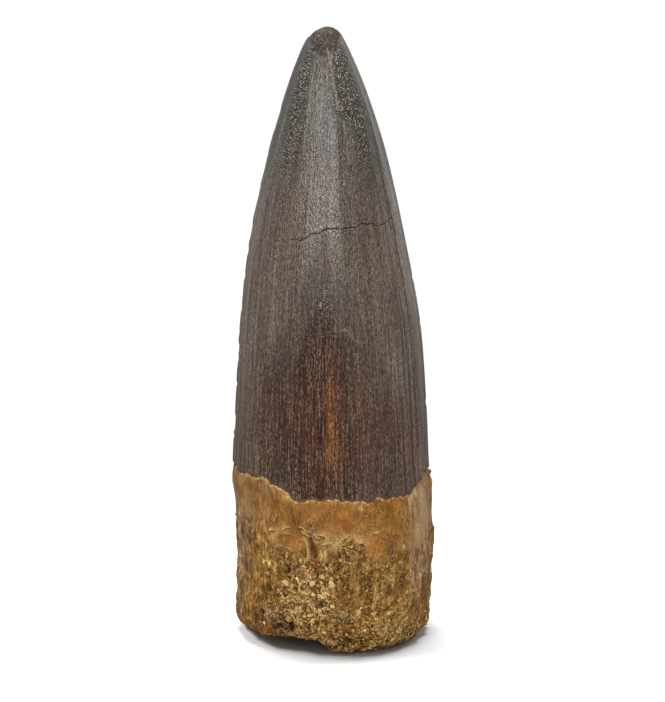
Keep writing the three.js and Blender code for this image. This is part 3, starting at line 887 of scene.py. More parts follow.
def fibrous_bands(angle, z):
    """Where the root's lengthwise fibres show: most at its two margins, and faintly between."""

    def band(middle, reach):
        """1 over a band of the circumference, with soft sides."""
        return np.exp(-((turn_between(middle, angle) / reach) ** 4))

    left = band(-164, 33) * smoothstep(30, 26, z)
    right = 0.9 * band(-20, 24) * smoothstep(34, 29, z)
    ribbed = 0.55 * band(-64, 24) * smoothstep(22, 18, z) * smoothstep(5, 9, z)
    drawn = 0.4 * band(-130, 12) * smoothstep(12, 16, z)
    back = 0.7 * near(turn_between(95, angle) / 30) * smoothstep(26, 18, z)
    return np.clip(left + right + ribbed + drawn + back, 0, 1) * smoothstep(2, 6, z)


def underside_height(place, angle, share):
    """The broken underside: a rough, lifted floor, pressed flat where it bears on the ground."""
    x, y = place[:, 0], place[:, 1]
    lift = lerp(BREAK_DEPTH, along(RIM_LIFT, angle), share**2)
    rough = BREAK_LUMP_RISE * lumpy((x, y, 0 * x), BREAK_LUMP_SIZE)
    pressed = 0
    for at_x, at_y, reach in BEARINGS:
        pressed = pressed + BEARING_PRESS * near(np.hypot(x - at_x, y - at_y) / reach)
    return np.maximum(0, lift + rough * (1 - 0.7 * share**2) - pressed)


def grain_shape(rounded, seed):
    """A sand grain about one unit across, rounded or angular, as its corners and faces."""
    bm = bmesh.new()
    if rounded:
        bmesh.ops.create_icosphere(bm, subdivisions=1, radius=0.5)
    else:
        bmesh.ops.create_cube(bm, size=0.72)
    rng = np.random.default_rng(seed)
    stretch, uneven = 1 + rng.uniform(-0.3, 0.3, 3), 0.12 if rounded else 0.3
    for vert in bm.verts:
        jog = 1 + rng.uniform(-uneven, uneven)
        vert.co = Vector([c * s * jog for c, s in zip(vert.co, stretch)])
    bm.verts.ensure_lookup_table()
    corners = np.array([v.co for v in bm.verts])
    faces = np.array([[v.index for v in f.verts] for f in bm.faces])
    bm.free()
    return corners, faces


def random_turns(rng, count):
    """Even random rotation matrices."""
    q = rng.normal(size=(count, 4))
    w, x, y, z = (q / np.linalg.norm(q, axis=1, keepdims=True)).T
    rows = [
        [1 - 2 * (y * y + z * z), 2 * (x * y - z * w), 2 * (x * z + y * w)],
        [2 * (x * y + z * w), 1 - 2 * (x * x + z * z), 2 * (y * z - x * w)],
        [2 * (x * z - y * w), 2 * (y * z + x * w), 1 - 2 * (x * x + y * y)],
    ]
    return np.moveaxis(np.array(rows), 2, 0)


# Pale coarse grains that stand out: angle, height, width, tone.
PALE_GRAINS = (
    (-111.9, 15.5, 0.5, 1.0), (-107, 15, 0.5, 1.0), (-105.8, 14.7, 0.45, 0.98),
    (-113.7, 16, 0.4, 0.9), (-118.6, 14.4, 1.4, 0.8), (-101.8, 14.9, 1.2, 0.82),
    (-92, 15.3, 1.3, 0.86), (-90.6, 14.6, 1.2, 0.82), (-98, 16.2, 0.9, 0.78),
    (-111.4, 10.8, 1.1, 0.93), (-101.6, 12.6, 1.0, 0.9), (-108, 12.8, 0.8, 0.84),
    (-105.6, 12.8, 0.6, 0.8), (-112.7, 11.8, 0.9, 0.8), (-96, 12.3, 0.7, 0.9),
    (-95.8, 13.1, 0.7, 0.86), (-90.1, 10.4, 0.9, 0.84), (-73.8, 9.6, 0.6, 0.97),
    (-56.3, 8.2, 1.0, 0.8), (-41.8, 6, 0.8, 0.85), (-109.3, 14.4, 0.9, 0.78),
    (-104, 13.9, 0.8, 0.76), (-115.3, 13.1, 0.8, 0.74), (-99, 11.4, 0.8, 0.78),
    (-104, 11.2, 0.9, 0.74), (75, 11, 0.9, 0.9), (98, 14, 0.7, 0.95),
)
# Where coarse grains cluster: angle, height, reach round, reach up, strength.
GRAIN_CLUSTERS = (
    (-105, 13, 4, 2.0, 0.9), (-112, 7, 5, 2.5, 0.4), (-60, 8, 7, 4, 0.25), (72, 12, 6, 4, 0.7),
    (140, 7, 6, 3, 0.4),
)


def place_grains(name, points, weight, count, size, rounded, sunk, rng, named):
    """Sand grains set into the crust, joined in one mesh. sunk is the least and most burial."""
    normal = normals_of(points)
    corner = points[:-1, :-1]
    area = np.linalg.norm(np.cross(points[1:, :-1] - corner, points[:-1, 1:] - corner), axis=2)
    weight = (area * weight[:-1, :-1]).ravel()
    chosen = rng.choice(weight.size, size=count, p=weight / weight.sum())
    row, column = np.unravel_index(chosen, area.shape)
    across, down = rng.random((2, count, 1))
    start = corner[row, column]
    place = start + across * (points[row, column + 1] - start)
    place = place + down * (points[row + 1, column] - start)
    width = size * np.exp(rng.normal(0, GRAIN_SPREAD, count))
    tone = rng.beta(2.2, 2.6, count)  # mostly in the middle of the range from dark to pale
    for i, (angle, z, named_width, named_tone) in enumerate(named):
        column[i] = int((angle + 180) / 360 * ROOT_COLUMNS)
        row[i] = 2 + np.argmin(np.abs(points[2 : 2 + BARE_ROWS + CRUST_ROWS, column[i], 2] - z))
        place[i], width[i], tone[i] = points[row[i], column[i]], named_width, named_tone
    place = place - normal[row, column] * (width * rng.uniform(*sunk, count))[:, None]
    place[:, 2] = np.maximum(place[:, 2], width * 0.45)  # those at the foot rest on the ground

    shapes = [grain_shape(rounded, i) for i in range(GRAIN_SHAPES)]
    turns, which = random_turns(rng, count), rng.integers(0, len(shapes), count)
    corners, faces, tones, start = [], [], [], 0
    for kind, (shape, shape_faces) in enumerate(shapes):
        chosen = which == kind
        placed = np.einsum("nij,vj->nvi", turns[chosen], shape) * width[chosen, None, None]
        corners.append((placed + place[chosen, None]).reshape(-1, 3))
        steps = start + np.arange(chosen.sum()) * len(shape)
        faces.append((shape_faces[None] + steps[:, None, None]).reshape(-1, shape_faces.shape[1]))
        tones.append(np.repeat(tone[chosen], len(shape)))
        start += len(corners[-1])
    corners, faces, tones = np.concatenate(corners), np.concatenate(faces), np.concatenate(tones)
    corners[:, 2] = np.maximum(corners[:, 2], 0)

    mesh = bpy.data.meshes.new(name)
    mesh.from_pydata((corners * MM).tolist(), [], faces.tolist())
    layer = mesh.attributes.new("tone", "FLOAT", "POINT")
    layer.data.foreach_set("value", tones.astype(np.float32))
    piece = bpy.data.objects.new(name, mesh)
    bpy.context.scene.collection.objects.link(piece)
    return piece


# --- Materials ----------------------------------------------------------------------------------


# Settings that most nodes of a kind have here: values are multiplied, ramps are smooth and colours
# are mixed.
USUAL_SETTINGS = {
    "Math": {"operation": "MULTIPLY"},
    "MapRange": {"interpolation_type": "SMOOTHSTEP"},
    "Mix": {"data_type": "RGBA"},
}


def add_node(tree, kind, *values, read=None, **named):
    """Adds a node and gives its first output, or the one to read, where it has any.

    The values go to its inputs in order, and the named ones to the setting or the input of that
    name. Each input takes a plain value or another node's output.
    """
    made = tree.nodes.new("ShaderNode" + kind)
    named = USUAL_SETTINGS.get(kind, {}) | named
    for key in [key for key in named if key not in made.inputs]:
        setattr(made, key, named.pop(key))
    given = list(zip([socket for socket in made.inputs if socket.enabled], values))
    given += [(made.inputs[key], value) for key, value in named.items()]
    for socket, value in given:
        if isinstance(value, bpy.types.NodeSocket):
            tree.links.new(value, socket)
        else:
            socket.default_value = value
    first = next((socket for socket in made.outputs if socket.enabled), None)
    return made.outputs[read] if read else first


def new_material(name):
    """An empty material, and the function that adds a node to it."""
    material = bpy.data.materials.new(name)
    material.use_nodes = True
    material.node_tree.nodes.clear()
    return material, partial(add_node, material.node_tree)


def per(millimetres):
    """The noise scale whose features are about this wide on coordinates in metres."""
    return 1 / (millimetres * MM)


def metres(*millimetres):
    return tuple(each * MM for each in millimetres)


def rgba(colour_or_hex):
    """A colour as a node takes it, from a hex colour or from linear red, green and blue."""
    rgb = linear(colour_or_hex) if isinstance(colour_or_hex, str) else colour_or_hex
    return (*rgb, 1.0)


def finish_material(material, node, colour_socket, roughness, height, bump_mm, **shine):
    bump = node("Bump", Strength=1.0, Distance=bump_mm * MM, Height=height)
    shine = {"Base Color": colour_socket, "Roughness": roughness, "Normal": bump, **shine}
    node("OutputMaterial", node("BsdfPrincipled", **shine))
    return material


def noise(node, vector, size, detail=2.0, rough=0.5, stretch=1.0):
    """Noise of a size in millimetres, drawn out along Z by stretch."""
    mapped = node("Mapping", vector, Scale=(1, 1, 1 / stretch))
    return node("TexNoise", mapped, Scale=per(size), Detail=detail, Roughness=rough)


def veins(node, vector, size, width, stretch=1.0):
    """A network of thin lines, 1 on them, where noise of a size crosses its middle value."""
    off = node("Math", noise(node, vector, size, 3.0, 0.6, stretch), 0.5, operation="SUBTRACT")
    return node("MapRange", node("Math", off, operation="ABSOLUTE"), width, width * 0.2)


def grains(node, vector, size):
    """Packed grains of a size in millimetres: 1 at a grain's middle and 0 between, and its tone."""
    waver = node("TexNoise", vector, Scale=per(0.5), read="Color")
    centre = node("TexVoronoi", node("Mix", 0.0006, vector, waver), Scale=per(size), read="Distance")
    tone = node("SeparateColor", centre.node.outputs["Color"])
    return node("MapRange", centre, 0.62, 0.2), tone


def contrast(node, value, low, high, share, darkest, lightest):
    """A brightness that value takes from dark to light, both of them moved by a share."""
    dark = node("MapRange", share, 0.0, 1.0, *darkest)
    light = node("MapRange", share, 0.0, 1.0, *lightest)
    return node("MapRange", value, low, high, dark, light)


def summed(node, start, *terms):
    """start plus each term's value times its gain, where the term's middle value adds nothing."""
    off = sum(gain * middle for _, gain, middle in terms)
    is_socket = isinstance(start, bpy.types.NodeSocket)
    total = node("Math", start, -off, operation="ADD") if is_socket else start - off
    for value, gain, _ in terms:
        total = node("Math", value, gain, total, operation="MULTIPLY_ADD")
    return total


def coloured(node, value, *stops):
    """A value's colour, from stops of a place and a hex colour."""
    scale = node("ValToRGB", value)
    elements = scale.node.color_ramp.elements
    while len(elements) < len(stops):
        elements.new(0.5)
    for element, (at, hex_colour) in zip(elements, stops):
        element.position = at
        element.color = rgba(hex_colour)
    return scale


def enamel_material(settings):
    """Fossil enamel: dark, dense apatite with a satin polish, so the light lies on it in long soft
    bands that the fine lengthwise fibres break up.

    Real fibres and pores are finer still. They are drawn 0.15 to 0.3 mm wide, as coarse as they
    need to be to show.
    """
    material, node = new_material("fossil_enamel_satin")
    fibre = node("Attribute", attribute_name="fibre", read="Vector")
    place = node("TexCoord", read="Object")
    mesh = {
        name: node("Attribute", attribute_name=name, read="Fac")
        for name in (
            "low", "side", "high", "rim", "grainy", "amber", "red", "dark", "sandy", "pitted", "worn",
            "seam", "crack", "above_edge",
        )
    }
    low, side, high = mesh["low"], mesh["side"], mesh["high"]
    patch = noise(node, place, 6.0, 3.0, 0.55, stretch=2.5)
    stripe = noise(node, node("Mapping", fibre, metres(40, 0, 0)), 2.6, 2.0, 0.5, stretch=20)
    strand = noise(node, fibre, 0.9, 2.0, 0.6, stretch=50)
    thread = noise(node, node("Mapping", fibre, metres(15, 25, 0)), 0.3, 1.0, 0.6, stretch=50)
    column = noise(node, node("Mapping", fibre, metres(5, 65, 0)), 0.15, 0.0, 0.5, stretch=40)
    broken = noise(node, node("Mapping", fibre, metres(0, 0, 70)), 0.24, 1.0, 0.6, stretch=2.6)
    dash = noise(node, fibre, 0.24, 0.0, 0.5, stretch=3)
    speck = noise(node, place, 0.24, 0.0, 0.5)
    grit = noise(node, node("Mapping", place, metres(30, 10, 60)), 0.23, 1.0, 0.8)
    blotch = noise(node, node("Mapping", place, metres(0, 60, 20)), 0.6, 2.0, 0.7)

    # Broad patches: olive to purple above, then purple-brown, dark and red-brown below.
    hue = summed(node, 0.5, (patch, 0.8, 0.5), (stripe, 1.2, 0.5))
    olive, purple = rgba(settings.enamel), rgba(settings.enamel_purple)
    upper = node("Mix", node("MapRange", hue, 0.35, 0.65), olive, purple)
    # The side rims are greyer: partly the enamel's own grey-olive, partly painted reflection of the
    # bright surround.
    upper = node("Mix", mesh["rim"], upper, rgba("#4f4d44"))
    lower = node("Mix", mesh["red"], rgba(settings.enamel_low), rgba(settings.enamel_red))
    lower = node("Mix", node("Math", mesh["rim"], 0.6), lower, rgba("#4c473a"))
    body = node("Mix", low, upper, lower)
    between = node("Math", low, summed(node, 1.0, (low, -1.0, 0)))
    between = node("Math", between, node("MapRange", side, 0.0, 0.4, 1.4, 0.0))
    body = node("Mix", between, body, rgba("#3c261c"))
    amber = node("Math", mesh["amber"], node("MapRange", strand, 0.36, 0.6, 0.35, 0.9))
    body = node("Mix", amber, body, rgba(settings.amber))
    body = node("Mix", node("Math", mesh["dark"], 0.8), body, rgba("#211511"))

    # Fine texture: strands, threads and specks, lighter and darker than the patch they lie on.
    grainy = node("MapRange", low, 0.1, 0.6, 0.0, 0.9)
    grainy = node("Math", mesh["grainy"], grainy, operation="MAXIMUM")
    shade = contrast(node, strand, 0.35, 0.65, side, (0.86, 0.7), (1.14, 1.3))
    for layer in (
        node("MapRange", stripe, 0.38, 0.62, 0.86, 1.14),
        node("MapRange", dash, 0.36, 0.64, 0.7, 1.32),
        contrast(node, thread, 0.36, 0.62, side, (0.82, 0.66), (1.2, 1.36)),
        contrast(node, speck, 0.38, 0.62, grainy, (0.73, 0.54), (1.31, 1.48)),
        node("MapRange", column, 0.42, 0.34, 1.0, 0.72),
    ):
        shade = node("Math", shade, layer)
    shade = node("Math", shade, node("MapRange", high, 0.0, 1.0, 1.0, 0.78))
    body = node("Mix", node("Math", high, 0.5), body, rgba("#4a4740"))
    body = node("HueSaturation", Color=body, Value=shade)
    hairs = node("Math", node("MapRange", column, 0.56, 0.68), node("MapRange", broken, 0.46, 0.6))
    hairs = node("Math", hairs, node("MapRange", blotch, 0.36, 0.56, 0.3, 1.0))
    flecks = node("MapRange", column, 0.48, 0.6, 0.0, 0.6)
    flecks = node("Math", flecks, node("MapRange", dash, 0.57, 0.67))
    hairs = node("Math", hairs, flecks, operation="MAXIMUM")
    hairs = node("Math", hairs, node("MapRange", low, 0.0, 1.0, 0.1, 0.46))
    body = node("Mix", hairs, body, rgba(settings.dashes))

    # The pitted bands are darker and browner, with open pits painted near black as shade and pale
    # crumbs between them.
    pitted, worn = mesh["pitted"], mesh["worn"]
    dark_brown, pale_brown = rgba("#150f0b"), rgba(settings.worn)
    rough_brown = node("Mix", node("MapRange", blotch, 0.42, 0.58), dark_brown, pale_brown)
    specked = node("MapRange", speck, 0.38, 0.62, 0.4, 1.2)
    rough_brown = node("HueSaturation", Color=rough_brown, Value=specked)
    coarse = node("Math", worn, node("Math", pitted, 0.85), operation="MAXIMUM")
    body = node("Mix", coarse, body, rough_brown)
    crumbly = summed(node, grit, (blotch, 0.35, 0.5))
    pit = node("Math", coarse, node("MapRange", worn, 0.0, 1.0, 1.0, 0.8))
    pit = node("Math", pit, node("MapRange", crumbly, 0.54, 0.46))
    body = node("Mix", node("Math", pit, 0.85), body, rgba("#140e0b"))
    crumbs = node("Mix", worn, rgba("#c0b5a8"), rgba("#7c6a51"))
    dots = noise(node, node("Mapping", place, metres(70, 0, 20)), 0.2, 0.0)
    dots = node("MapRange", dots, 0.65, 0.7)
    glint = node("Math", dots, node("MapRange", crumbly, 0.67, 0.72), operation="MAXIMUM")
    glint = node("Math", node("Math", coarse, glint), 0.8)
    body = node("Mix", glint, body, crumbs)
    seam = node("Math", mesh["seam"], node("MapRange", crumbly, 0.44, 0.56, 0.1, 0.6))
    body = node("Mix", seam, body, rgba("#a4978a"))
    sandy = node("Math", mesh["sandy"], node("MapRange", speck, 0.38, 0.55, 0.25, 0.9))
    body = node("Mix", sandy, body, rgba("#a98f5c"))
    # Painted shade: the crack is drawn near black.
    body = node("Mix", node("MapRange", mesh["crack"], 0.1, 0.45), body, rgba("#1a100a"))
    near_edge = node("MapRange", mesh["above_edge"], 0.5, 0.1, 0.0, 0.85)
    body = node("Mix", near_edge, body, rgba("#55381e"))

    matt = node("Math", node("Math", coarse, 0.8), near_edge, operation="MAXIMUM")
    gloss = node("MapRange", grit, 0.42, 0.6, 0.23, 0.42)
    gloss = node("Math", gloss, node("MapRange", low, 0.0, 1.0, 1.0, 0.8))
    gloss = summed(node, gloss, (matt, 0.5, 0), (between, 0.5, 0), (side, 0.2, 0))
    height = summed(
        node, 0.0, (dash, 1.0, 0), (speck, 0.5, 0), (thread, 0.8, 0),
        (node("Math", thread, side), 1.2, 0), (node("Math", strand, side), 2.4, 0),
    )
    height = node("Math", grit, pitted, height, operation="MULTIPLY_ADD")
    return finish_material(material, node, body, gloss, height, 0.07, IOR=1.47)


def root_material():
    """Fossil dentine, waxy where bare, under a crust of sand cemented by iron-stained carbonate.

    The bare band has a faint sheen, and the crust has none: it shows as pale crumbs and crests over
    dark gaps, whose tone follows the relief, so they are partly painted highlight and painted shade.
    Its finest grit is drawn 0.3 mm wide, as coarse as it needs to be to show.
    """
    material, node = new_material("dentine_with_sandstone_crust")
    fibre = node("Attribute", attribute_name="fibre", read="Vector")
    place = node("TexCoord", read="Object")
    mesh = {
        name: node("Attribute", attribute_name=name, read="Fac")
        for name in (
            "crust", "fibrous", "crest", "hollow", "ledge", "shadow", "flake", "below_edge", "red",
            "orange", "pale", "grey", "dark",
        )
    }
    crust, fibrous, orange, pale = (mesh[name] for name in ("crust", "fibrous", "orange", "pale"))
    grey, dark, below_edge = (mesh[name] for name in ("grey", "dark", "below_edge"))
    cloud = noise(node, place, 3.0, 3.0, 0.6)
    cloud_two = noise(node, node("Mapping", place, metres(50, 20, 0)), 3.6, 3.0, 0.6)
    patch = noise(node, node("Mapping", place, metres(0, 80, 30)), 2.0, 2.0, 0.6, stretch=1.8)
    grit = noise(node, place, 0.28, 1.0, 0.7)
    crumb = noise(node, node("Mapping", place, metres(20, 0, 90)), 0.6, 2.0, 0.6)
    short = noise(node, fibre, 0.34, 1.0, 0.7, stretch=3.4)
    streak = noise(node, fibre, 0.6, 3.0, 0.65, stretch=11)
    wide_veins = veins(node, place, 1.1, 0.04, stretch=1.7)
    fine_veins = veins(node, place, 0.7, 0.05, stretch=1.2)

    # Bare dentine: golden brown in soft patches, paler close under the enamel, with fine threads.
    tone = summed(
        node, 0.5, (cloud, 1.0, 0.5), (patch, 0.5, 0.5), (grit, 0.5, 0.5), (short, 0.5, 0.5),
        (node("MapRange", below_edge, 3.0, 0.3), 0.14, 0.2), (dark, -0.3, 0),
    )
    bare = coloured(
        node, tone,
        (0.15, "#4b2e0e"), (0.4, "#6c4616"), (0.58, "#80541e"), (0.78, "#95692d"), (1.0, "#b38e55"),
    )
    bare = node("Mix", node("Math", orange, 0.9), bare, (1.06, 0.86, 0.52, 1), blend_type="MULTIPLY")
    bare = node("Mix", node("Math", mesh["flake"], 0.7), bare, rgba("#8a7240"))
    threads = node("Math", fine_veins, node("MapRange", cloud_two, 0.46, 0.58, 0.05, 0.35))
    bare = node("Mix", threads, bare, rgba("#bd9756"))
    drawn = node("MapRange", summed(node, short, (streak, 0.8, 0.5)), 0.49, 0.61)
    drawn = node("Math", node("Math", fibrous, drawn), 0.45)
    bare = node("Mix", drawn, bare, rgba("#b09a72"))

    # Crust: crumbs, or strokes where it is fibrous, from dark gaps to pale crests. The tone rises with
    # the relief and with the same crumbs that raise the bumps, so the pale crests are partly painted
    # highlight and the dark gaps partly painted shade.
    dome, grain_tone = grains(node, place, 0.72)
    crumbs = summed(
        node, 0.5, (grit, 0.6, 0.5), (crumb, 0.45, 0.5), (dome, 0.1, 0.5), (grain_tone, 0.15, 0.5)
    )
    strokes = summed(node, 0.5, (short, 0.45, 0.5), (streak, 0.4, 0.5), (grit, 0.2, 0.5))
    fabric = node("Mix", fibrous, crumbs, strokes, data_type="FLOAT")
    lines = node("Math", wide_veins, node("Math", fine_veins, 0.7), operation="MAXIMUM")
    lines = node("Math", lines, node("MapRange", fibrous, 0.0, 1.0, 1.0, 0.3))
    smooth = node("Math", node("MapRange", patch, 0.56, 0.44), node("MapRange", pale, 0.5, 0.0))
    strong = node("MapRange", smooth, 0.0, 1.0, 3.5, 1.9)
    strong = node("Math", summed(node, 0.0, (fabric, 1.0, 0.5)), strong)
    strong = node("Math", strong, node("MapRange", fibrous, 0.0, 1.0, 1.0, 0.7))
    tone = summed(
        node, node("Math", strong, 0.5, operation="ADD"), (mesh["crest"], 0.35, 0.5), (patch, 0.6, 0.5),
        (lines, 0.22, 0.1), (pale, 0.28, 0), (dark, -0.3, 0), (fibrous, -0.01, 0),
    )
    sand = coloured(
        node, tone,
        (0.0, "#281807"), (0.2, "#483010"), (0.4, "#6b4a1e"), (0.58, "#86602a"), (0.74, "#9f7a3e"),
        (0.88, "#bb995a"), (1.0, "#d6c08b"),
    )
    not_orange = node("MapRange", orange, 0.3, 0.0)
    olive = node("Math", node("MapRange", cloud, 0.5, 0.62, 0.0, 0.6), not_orange)
    sand = node("Mix", olive, sand, (0.86, 0.92, 0.68, 1), blend_type="MULTIPLY")
    mauve = node("Math", node("MapRange", crumb, 0.48, 0.36, 0.0, 0.6), not_orange)
    sand = node("Mix", mauve, sand, (0.98, 0.9, 1.12, 1), blend_type="MULTIPLY")
    rusty = node("MapRange", cloud_two, 0.54, 0.66, 0.0, 0.7)
    rusty = node("Math", orange, rusty, operation="MAXIMUM")
    sand = node("Mix", node("Math", rusty, 0.9), sand, (1.06, 0.84, 0.55, 1), blend_type="MULTIPLY")
    brightness = node("MapRange", tone, 0.1, 0.9, 0.35, 1.7)
    greyed = node("HueSaturation", Color=rgba("#94795f"), Value=brightness)
    sand = node("Mix", node("Math", grey, 0.8), sand, greyed)
    body = node("Mix", crust, bare, sand)

    # Laid over both, from the first to the last: grey and red stains, pale spots, painted shadow in the
    # hollows under the ledges and in the grooves, the ledges' pale crests (partly painted highlight),
    # painted shade in the hollows of the crust, and the pale rim and a painted shadow line under the
    # enamel.
    spots = node("Math", pale, node("MapRange", crust, 0.0, 0.6, 1.0, 0.0))
    rim = node("MapRange", noise(node, place, 0.5, 2.0), 0.46, 0.56)
    rim = node("Math", rim, node("MapRange", below_edge, 0.85, 0.35))
    for share, within, hex_colour in (
        (grey, node("MapRange", crust, 0.0, 1.0, 0.6, 0.0), "#957b5e"),
        (mesh["red"], node("MapRange", grit, 0.35, 0.6, 0.25, 0.85), "#934a2b"),
        (spots, node("MapRange", grit, 0.4, 0.52, 0.2, 1.0), "#ceb47c"),
        (mesh["shadow"], node("MapRange", grit, 0.6, 0.45, 0.475, 0.95), "#2c1b0a"),
        (mesh["ledge"], node("MapRange", grit, 0.38, 0.54, 0.27, 0.9), "#cba96c"),
        (mesh["hollow"], 0.9, "#180f08"),
        (rim, 0.8, "#cdac7b"),
        # A painted shadow: the root darkens to a thin line just under the enamel's lip.
        (node("MapRange", below_edge, 0.2, 0.0), 0.85, "#33200d"),
    ):
        body = node("Mix", node("Math", share, within), body, rgba(hex_colour))

    rough = node("MapRange", crust, 0.0, 1.0, 0.52, 0.9)
    height = node("Math", crust, summed(node, 0.0, (fabric, 0.8, 0), (lines, 0.06, 0)))
    height = summed(node, height, (grit, 0.08, 0), (short, 0.06, 0))
    shine = {"IOR": 1.5, "Specular IOR Level": 0.2}
    return finish_material(material, node, body, rough, height, 1.0, **shine)


def sand_material():
    """Quartz sand stained with iron and worn by water: most grains are dull ochre to olive, and a few
    nearly clear ones stand out as pale points."""
    material, node = new_material("iron_stained_quartz_sand")
    colours = coloured(
        node, node("Attribute", attribute_name="tone", read="Fac"),
        (0.0, "#583d17"), (0.3, "#7b5a28"), (0.55, "#95733a"), (0.75, "#b19153"), (0.88, "#c8ad70"),
        (0.95, "#d6c288"), (1.0, "#e8dfc6"),
    )
    place = node("TexCoord", read="Object")
    speck = noise(node, place, 0.3, 2.0, 0.6)
    body = node("HueSaturation", Color=colours, Value=node("MapRange", speck, 0.3, 0.7, 0.75, 1.2))
    shine = {"IOR": 1.54, "Specular IOR Level": 0.4}
    return finish_material(material, node, body, 0.6, speck, 0.03, **shine)


def plain_material(name, hex_colour, roughness):
    material, node = new_material(name)
    paint = {"Base Color": rgba(hex_colour), "Roughness": roughness}
    node("OutputMaterial", node("BsdfPrincipled", **paint))
    return material


# --- Operators ----------------------------------------------------------------------------------


class FOSSIL_OT_crown(bpy.types.Operator):
    """Model the enamel crown, with its worn tip, crack, fibres and scalloped lower edge"""

    bl_idname = "fossil_tooth.crown"
    bl_label = "Enamel Crown"
    bl_options = {"REGISTER", "UNDO"}

    def execute(self, context):
        settings = context.scene.fossil_crown
        points, values = crown_grid(settings)
        fixed(wrap("enamel_crown", points, values), enamel_material(settings))
        return {"FINISHED"}


class FOSSIL_OT_root(bpy.types.Operator):
    """Model the root stump, bare under the enamel and crusted with sand below"""

    bl_idname = "fossil_tooth.root"
    bl_label = "Root Stump"
    bl_options = {"REGISTER", "UNDO"}

    def execute(self, context):
        settings = context.scene.fossil_root
        points, values = root_grid(settings)
        fixed(wrap("root_stump", points, values), root_material())
        return {"FINISHED"}


class FOSSIL_OT_sand(bpy.types.Operator):
    """Set the sand grains into the root's crust"""

    bl_idname = "fossil_tooth.sand"
    bl_label = "Sand Grains"
    bl_options = {"REGISTER", "UNDO"}

    def execute(self, context):
        settings = context.scene.fossil_sand
        points, values = root_grid(context.scene.fossil_root)
        material, rng = sand_material(), np.random.default_rng(settings.seed)
        place = np.moveaxis(points, -1, 0)
        open_ = values["crust"] * (1 - 0.97 * values["fibrous"]) * (1 - values["hollow"])
        fine = open_ * np.clip(0.5 + lumpy(place, 4.0) + 0.5 * lumpy(place, 1.6), 0.04, 2)
        fine = fine + 0.5 * values["ledge"] * np.clip(lumpy(place, 1.2), 0, 1)
        angles = np.broadcast_to(np.linspace(-180, 180, ROOT_COLUMNS + 1), fine.shape)
        coarse = open_ * (0.06 + stains(GRAIN_CLUSTERS, angles, place[2]))
        few, many = settings.coarse_count, settings.fine_count
        small, large = settings.fine_size / MM, settings.coarse_size / MM
        for name, weight, count, size, rounded, sunk, named in (
            ("sand_fine", fine, many, small, False, (0.12, 0.5), ()),
            ("sand_coarse", coarse, few, large, True, (0.15, 0.45), PALE_GRAINS),
        ):
            piece = place_grains(name, points, weight, count, size, rounded, sunk, rng, named)
            fixed(piece, material)
        return {"FINISHED"}


# The stage: lengths in metres and directions in degrees.
CAMERA_DISTANCE, CAMERA_ELEVATION, CAMERA_AIM = 0.402, 12.0, 0.0572
CAMERA_LENS, CAMERA_SENSOR = 105.0, 36.0
FLOOR_RADIUS = 0.11
WORLD_LIGHT, WORLD_SEEN = 0.25, 1.05  # the white surround, as a light and as the camera sees it
# Name, azimuth, elevation, distance, width and height, power.
LIGHTS = (
    ("key", -7.0, 34.0, 0.75, (0.28, 0.44), 5.4),
    ("left", -128.0, 17.0, 0.7, (0.4, 0.5), 0.75),
    ("right", 140.0, 17.0, 0.7, (0.3, 0.5), 1.35),
    ("top", 180.0, 81.0, 0.75, (0.4, 0.12), 10.5),
    ("fill", -96.0, 50.0, 0.75, (0.3, 0.2), 5.2),
)
# The key and the left light leave the floor to the others, so that only the soft contact shadow
# shows there, and the fill falls on the floor alone.
LINKED_LIGHTS = {"key": "EXCLUDE", "left": "EXCLUDE", "fill": "INCLUDE"}


def seen_from(azimuth, elevation, distance, aim):
    """A place round the tooth. Azimuth 0 is in front of the clean face."""
    a, e = math.radians(azimuth), math.radians(elevation)
    away = Vector((math.sin(a) * math.cos(e), -math.cos(a) * math.cos(e), math.sin(e)))
    return Vector((0, 0, aim)) + away * distance, (-away).to_track_quat("-Z", "Y").to_euler()


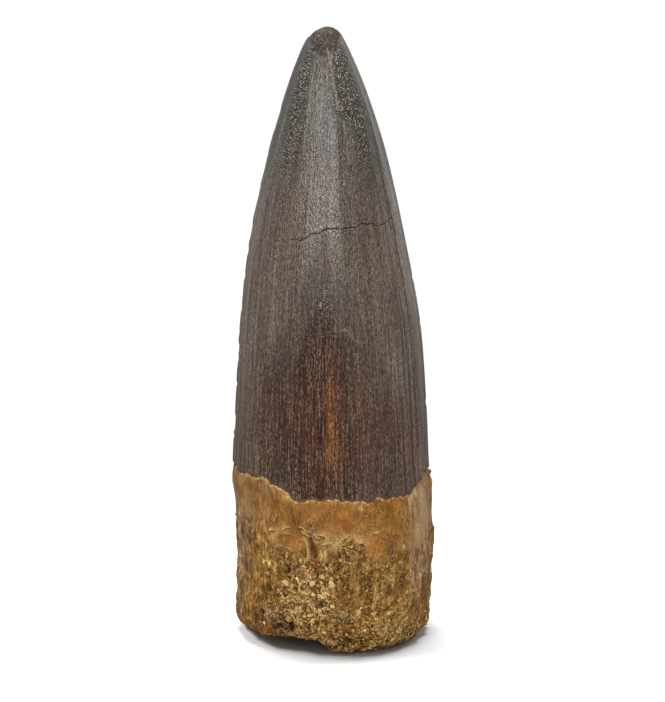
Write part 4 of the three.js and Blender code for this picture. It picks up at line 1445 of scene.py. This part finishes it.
class FOSSIL_OT_stage(bpy.types.Operator):
    """Set out the pale floor, the soft studio light and the camera"""

    bl_idname = "fossil_tooth.stage"
    bl_label = "Stage"
    bl_options = {"REGISTER", "UNDO"}

    def execute(self, context):
        scene = context.scene
        bm = bmesh.new()
        bmesh.ops.create_circle(bm, cap_ends=True, segments=96, radius=FLOOR_RADIUS)
        mesh = bpy.data.meshes.new("floor")
        bm.to_mesh(mesh)
        bm.free()
        # Matt paint has no reflection, so only the tooth's shadow shows on it.
        mesh.materials.append(plain_material("pale_floor_paint", "#e4e4e4", 0.9))
        floor = bpy.data.objects.new("floor", mesh)
        scene.collection.objects.link(floor)
        floor.visible_glossy = False

        for name, azimuth, elevation, distance, size, power in LIGHTS:
            light = bpy.data.lights.new(name, "AREA")
            light.shape = "RECTANGLE"
            light.size, light.size_y = size
            light.energy = power
            lamp = bpy.data.objects.new(name, light)
            lamp.location, lamp.rotation_euler = seen_from(azimuth, elevation, distance, CAMERA_AIM)
            scene.collection.objects.link(lamp)
            if name in LINKED_LIGHTS:
                receivers = bpy.data.collections.new(name + "_receivers")
                receivers.objects.link(floor)
                receivers.collection_objects[0].light_linking.link_state = LINKED_LIGHTS[name]
                lamp.light_linking.receiver_collection = receivers

        world = bpy.data.worlds.new("studio")
        world.use_nodes = True
        world.node_tree.nodes.clear()
        node = partial(add_node, world.node_tree)
        is_seen = node("LightPath", read="Is Camera Ray")
        strength = node("MapRange", is_seen, 0.0, 1.0, WORLD_LIGHT, WORLD_SEEN)
        node("OutputWorld", node("Background", (1, 1, 1, 1), strength))
        scene.world = world

        data = bpy.data.cameras.new("camera")
        data.lens, data.sensor_width = CAMERA_LENS, CAMERA_SENSOR
        camera = bpy.data.objects.new("camera", data)
        place, turn = seen_from(0, CAMERA_ELEVATION, CAMERA_DISTANCE, CAMERA_AIM)
        camera.location, camera.rotation_euler = place, turn
        scene.collection.objects.link(camera)
        scene.camera = camera
        scene.view_settings.view_transform = "Standard"
        return {"FINISHED"}


class FOSSIL_PT_panel(bpy.types.Panel):
    """Lists the tooth's pieces and their settings"""

    bl_idname = "FOSSIL_PT_panel"
    bl_label = "Fossil Tooth"
    bl_space_type = "VIEW_3D"
    bl_region_type = "UI"
    bl_category = "Fossil Tooth"

    def draw(self, context):
        for operator, group in (
            (FOSSIL_OT_crown, context.scene.fossil_crown),
            (FOSSIL_OT_root, context.scene.fossil_root),
            (FOSSIL_OT_sand, context.scene.fossil_sand),
        ):
            box = self.layout.box()
            box.operator(operator.bl_idname)
            for name in group.__annotations__:
                box.prop(group, name)
        self.layout.operator(FOSSIL_OT_stage.bl_idname)


GROUPS = (
    (ToothCrownSettings, "fossil_crown"),
    (ToothRootSettings, "fossil_root"),
    (ToothSandSettings, "fossil_sand"),
)
CLASSES = (FOSSIL_OT_crown, FOSSIL_OT_root, FOSSIL_OT_sand, FOSSIL_OT_stage, FOSSIL_PT_panel)


def register():
    for group, name in GROUPS:
        bpy.utils.register_class(group)
        setattr(bpy.types.Scene, name, bpy.props.PointerProperty(type=group))
    for each in CLASSES:
        bpy.utils.register_class(each)


def unregister():
    for each in reversed(CLASSES):
        bpy.utils.unregister_class(each)
    for group, name in reversed(GROUPS):
        delattr(bpy.types.Scene, name)
        bpy.utils.unregister_class(group)


def main():
    register()
    bpy.ops.fossil_tooth.crown()
    bpy.ops.fossil_tooth.root()
    bpy.ops.fossil_tooth.sand()
    bpy.ops.fossil_tooth.stage()


if __name__ == "__main__":
    main()
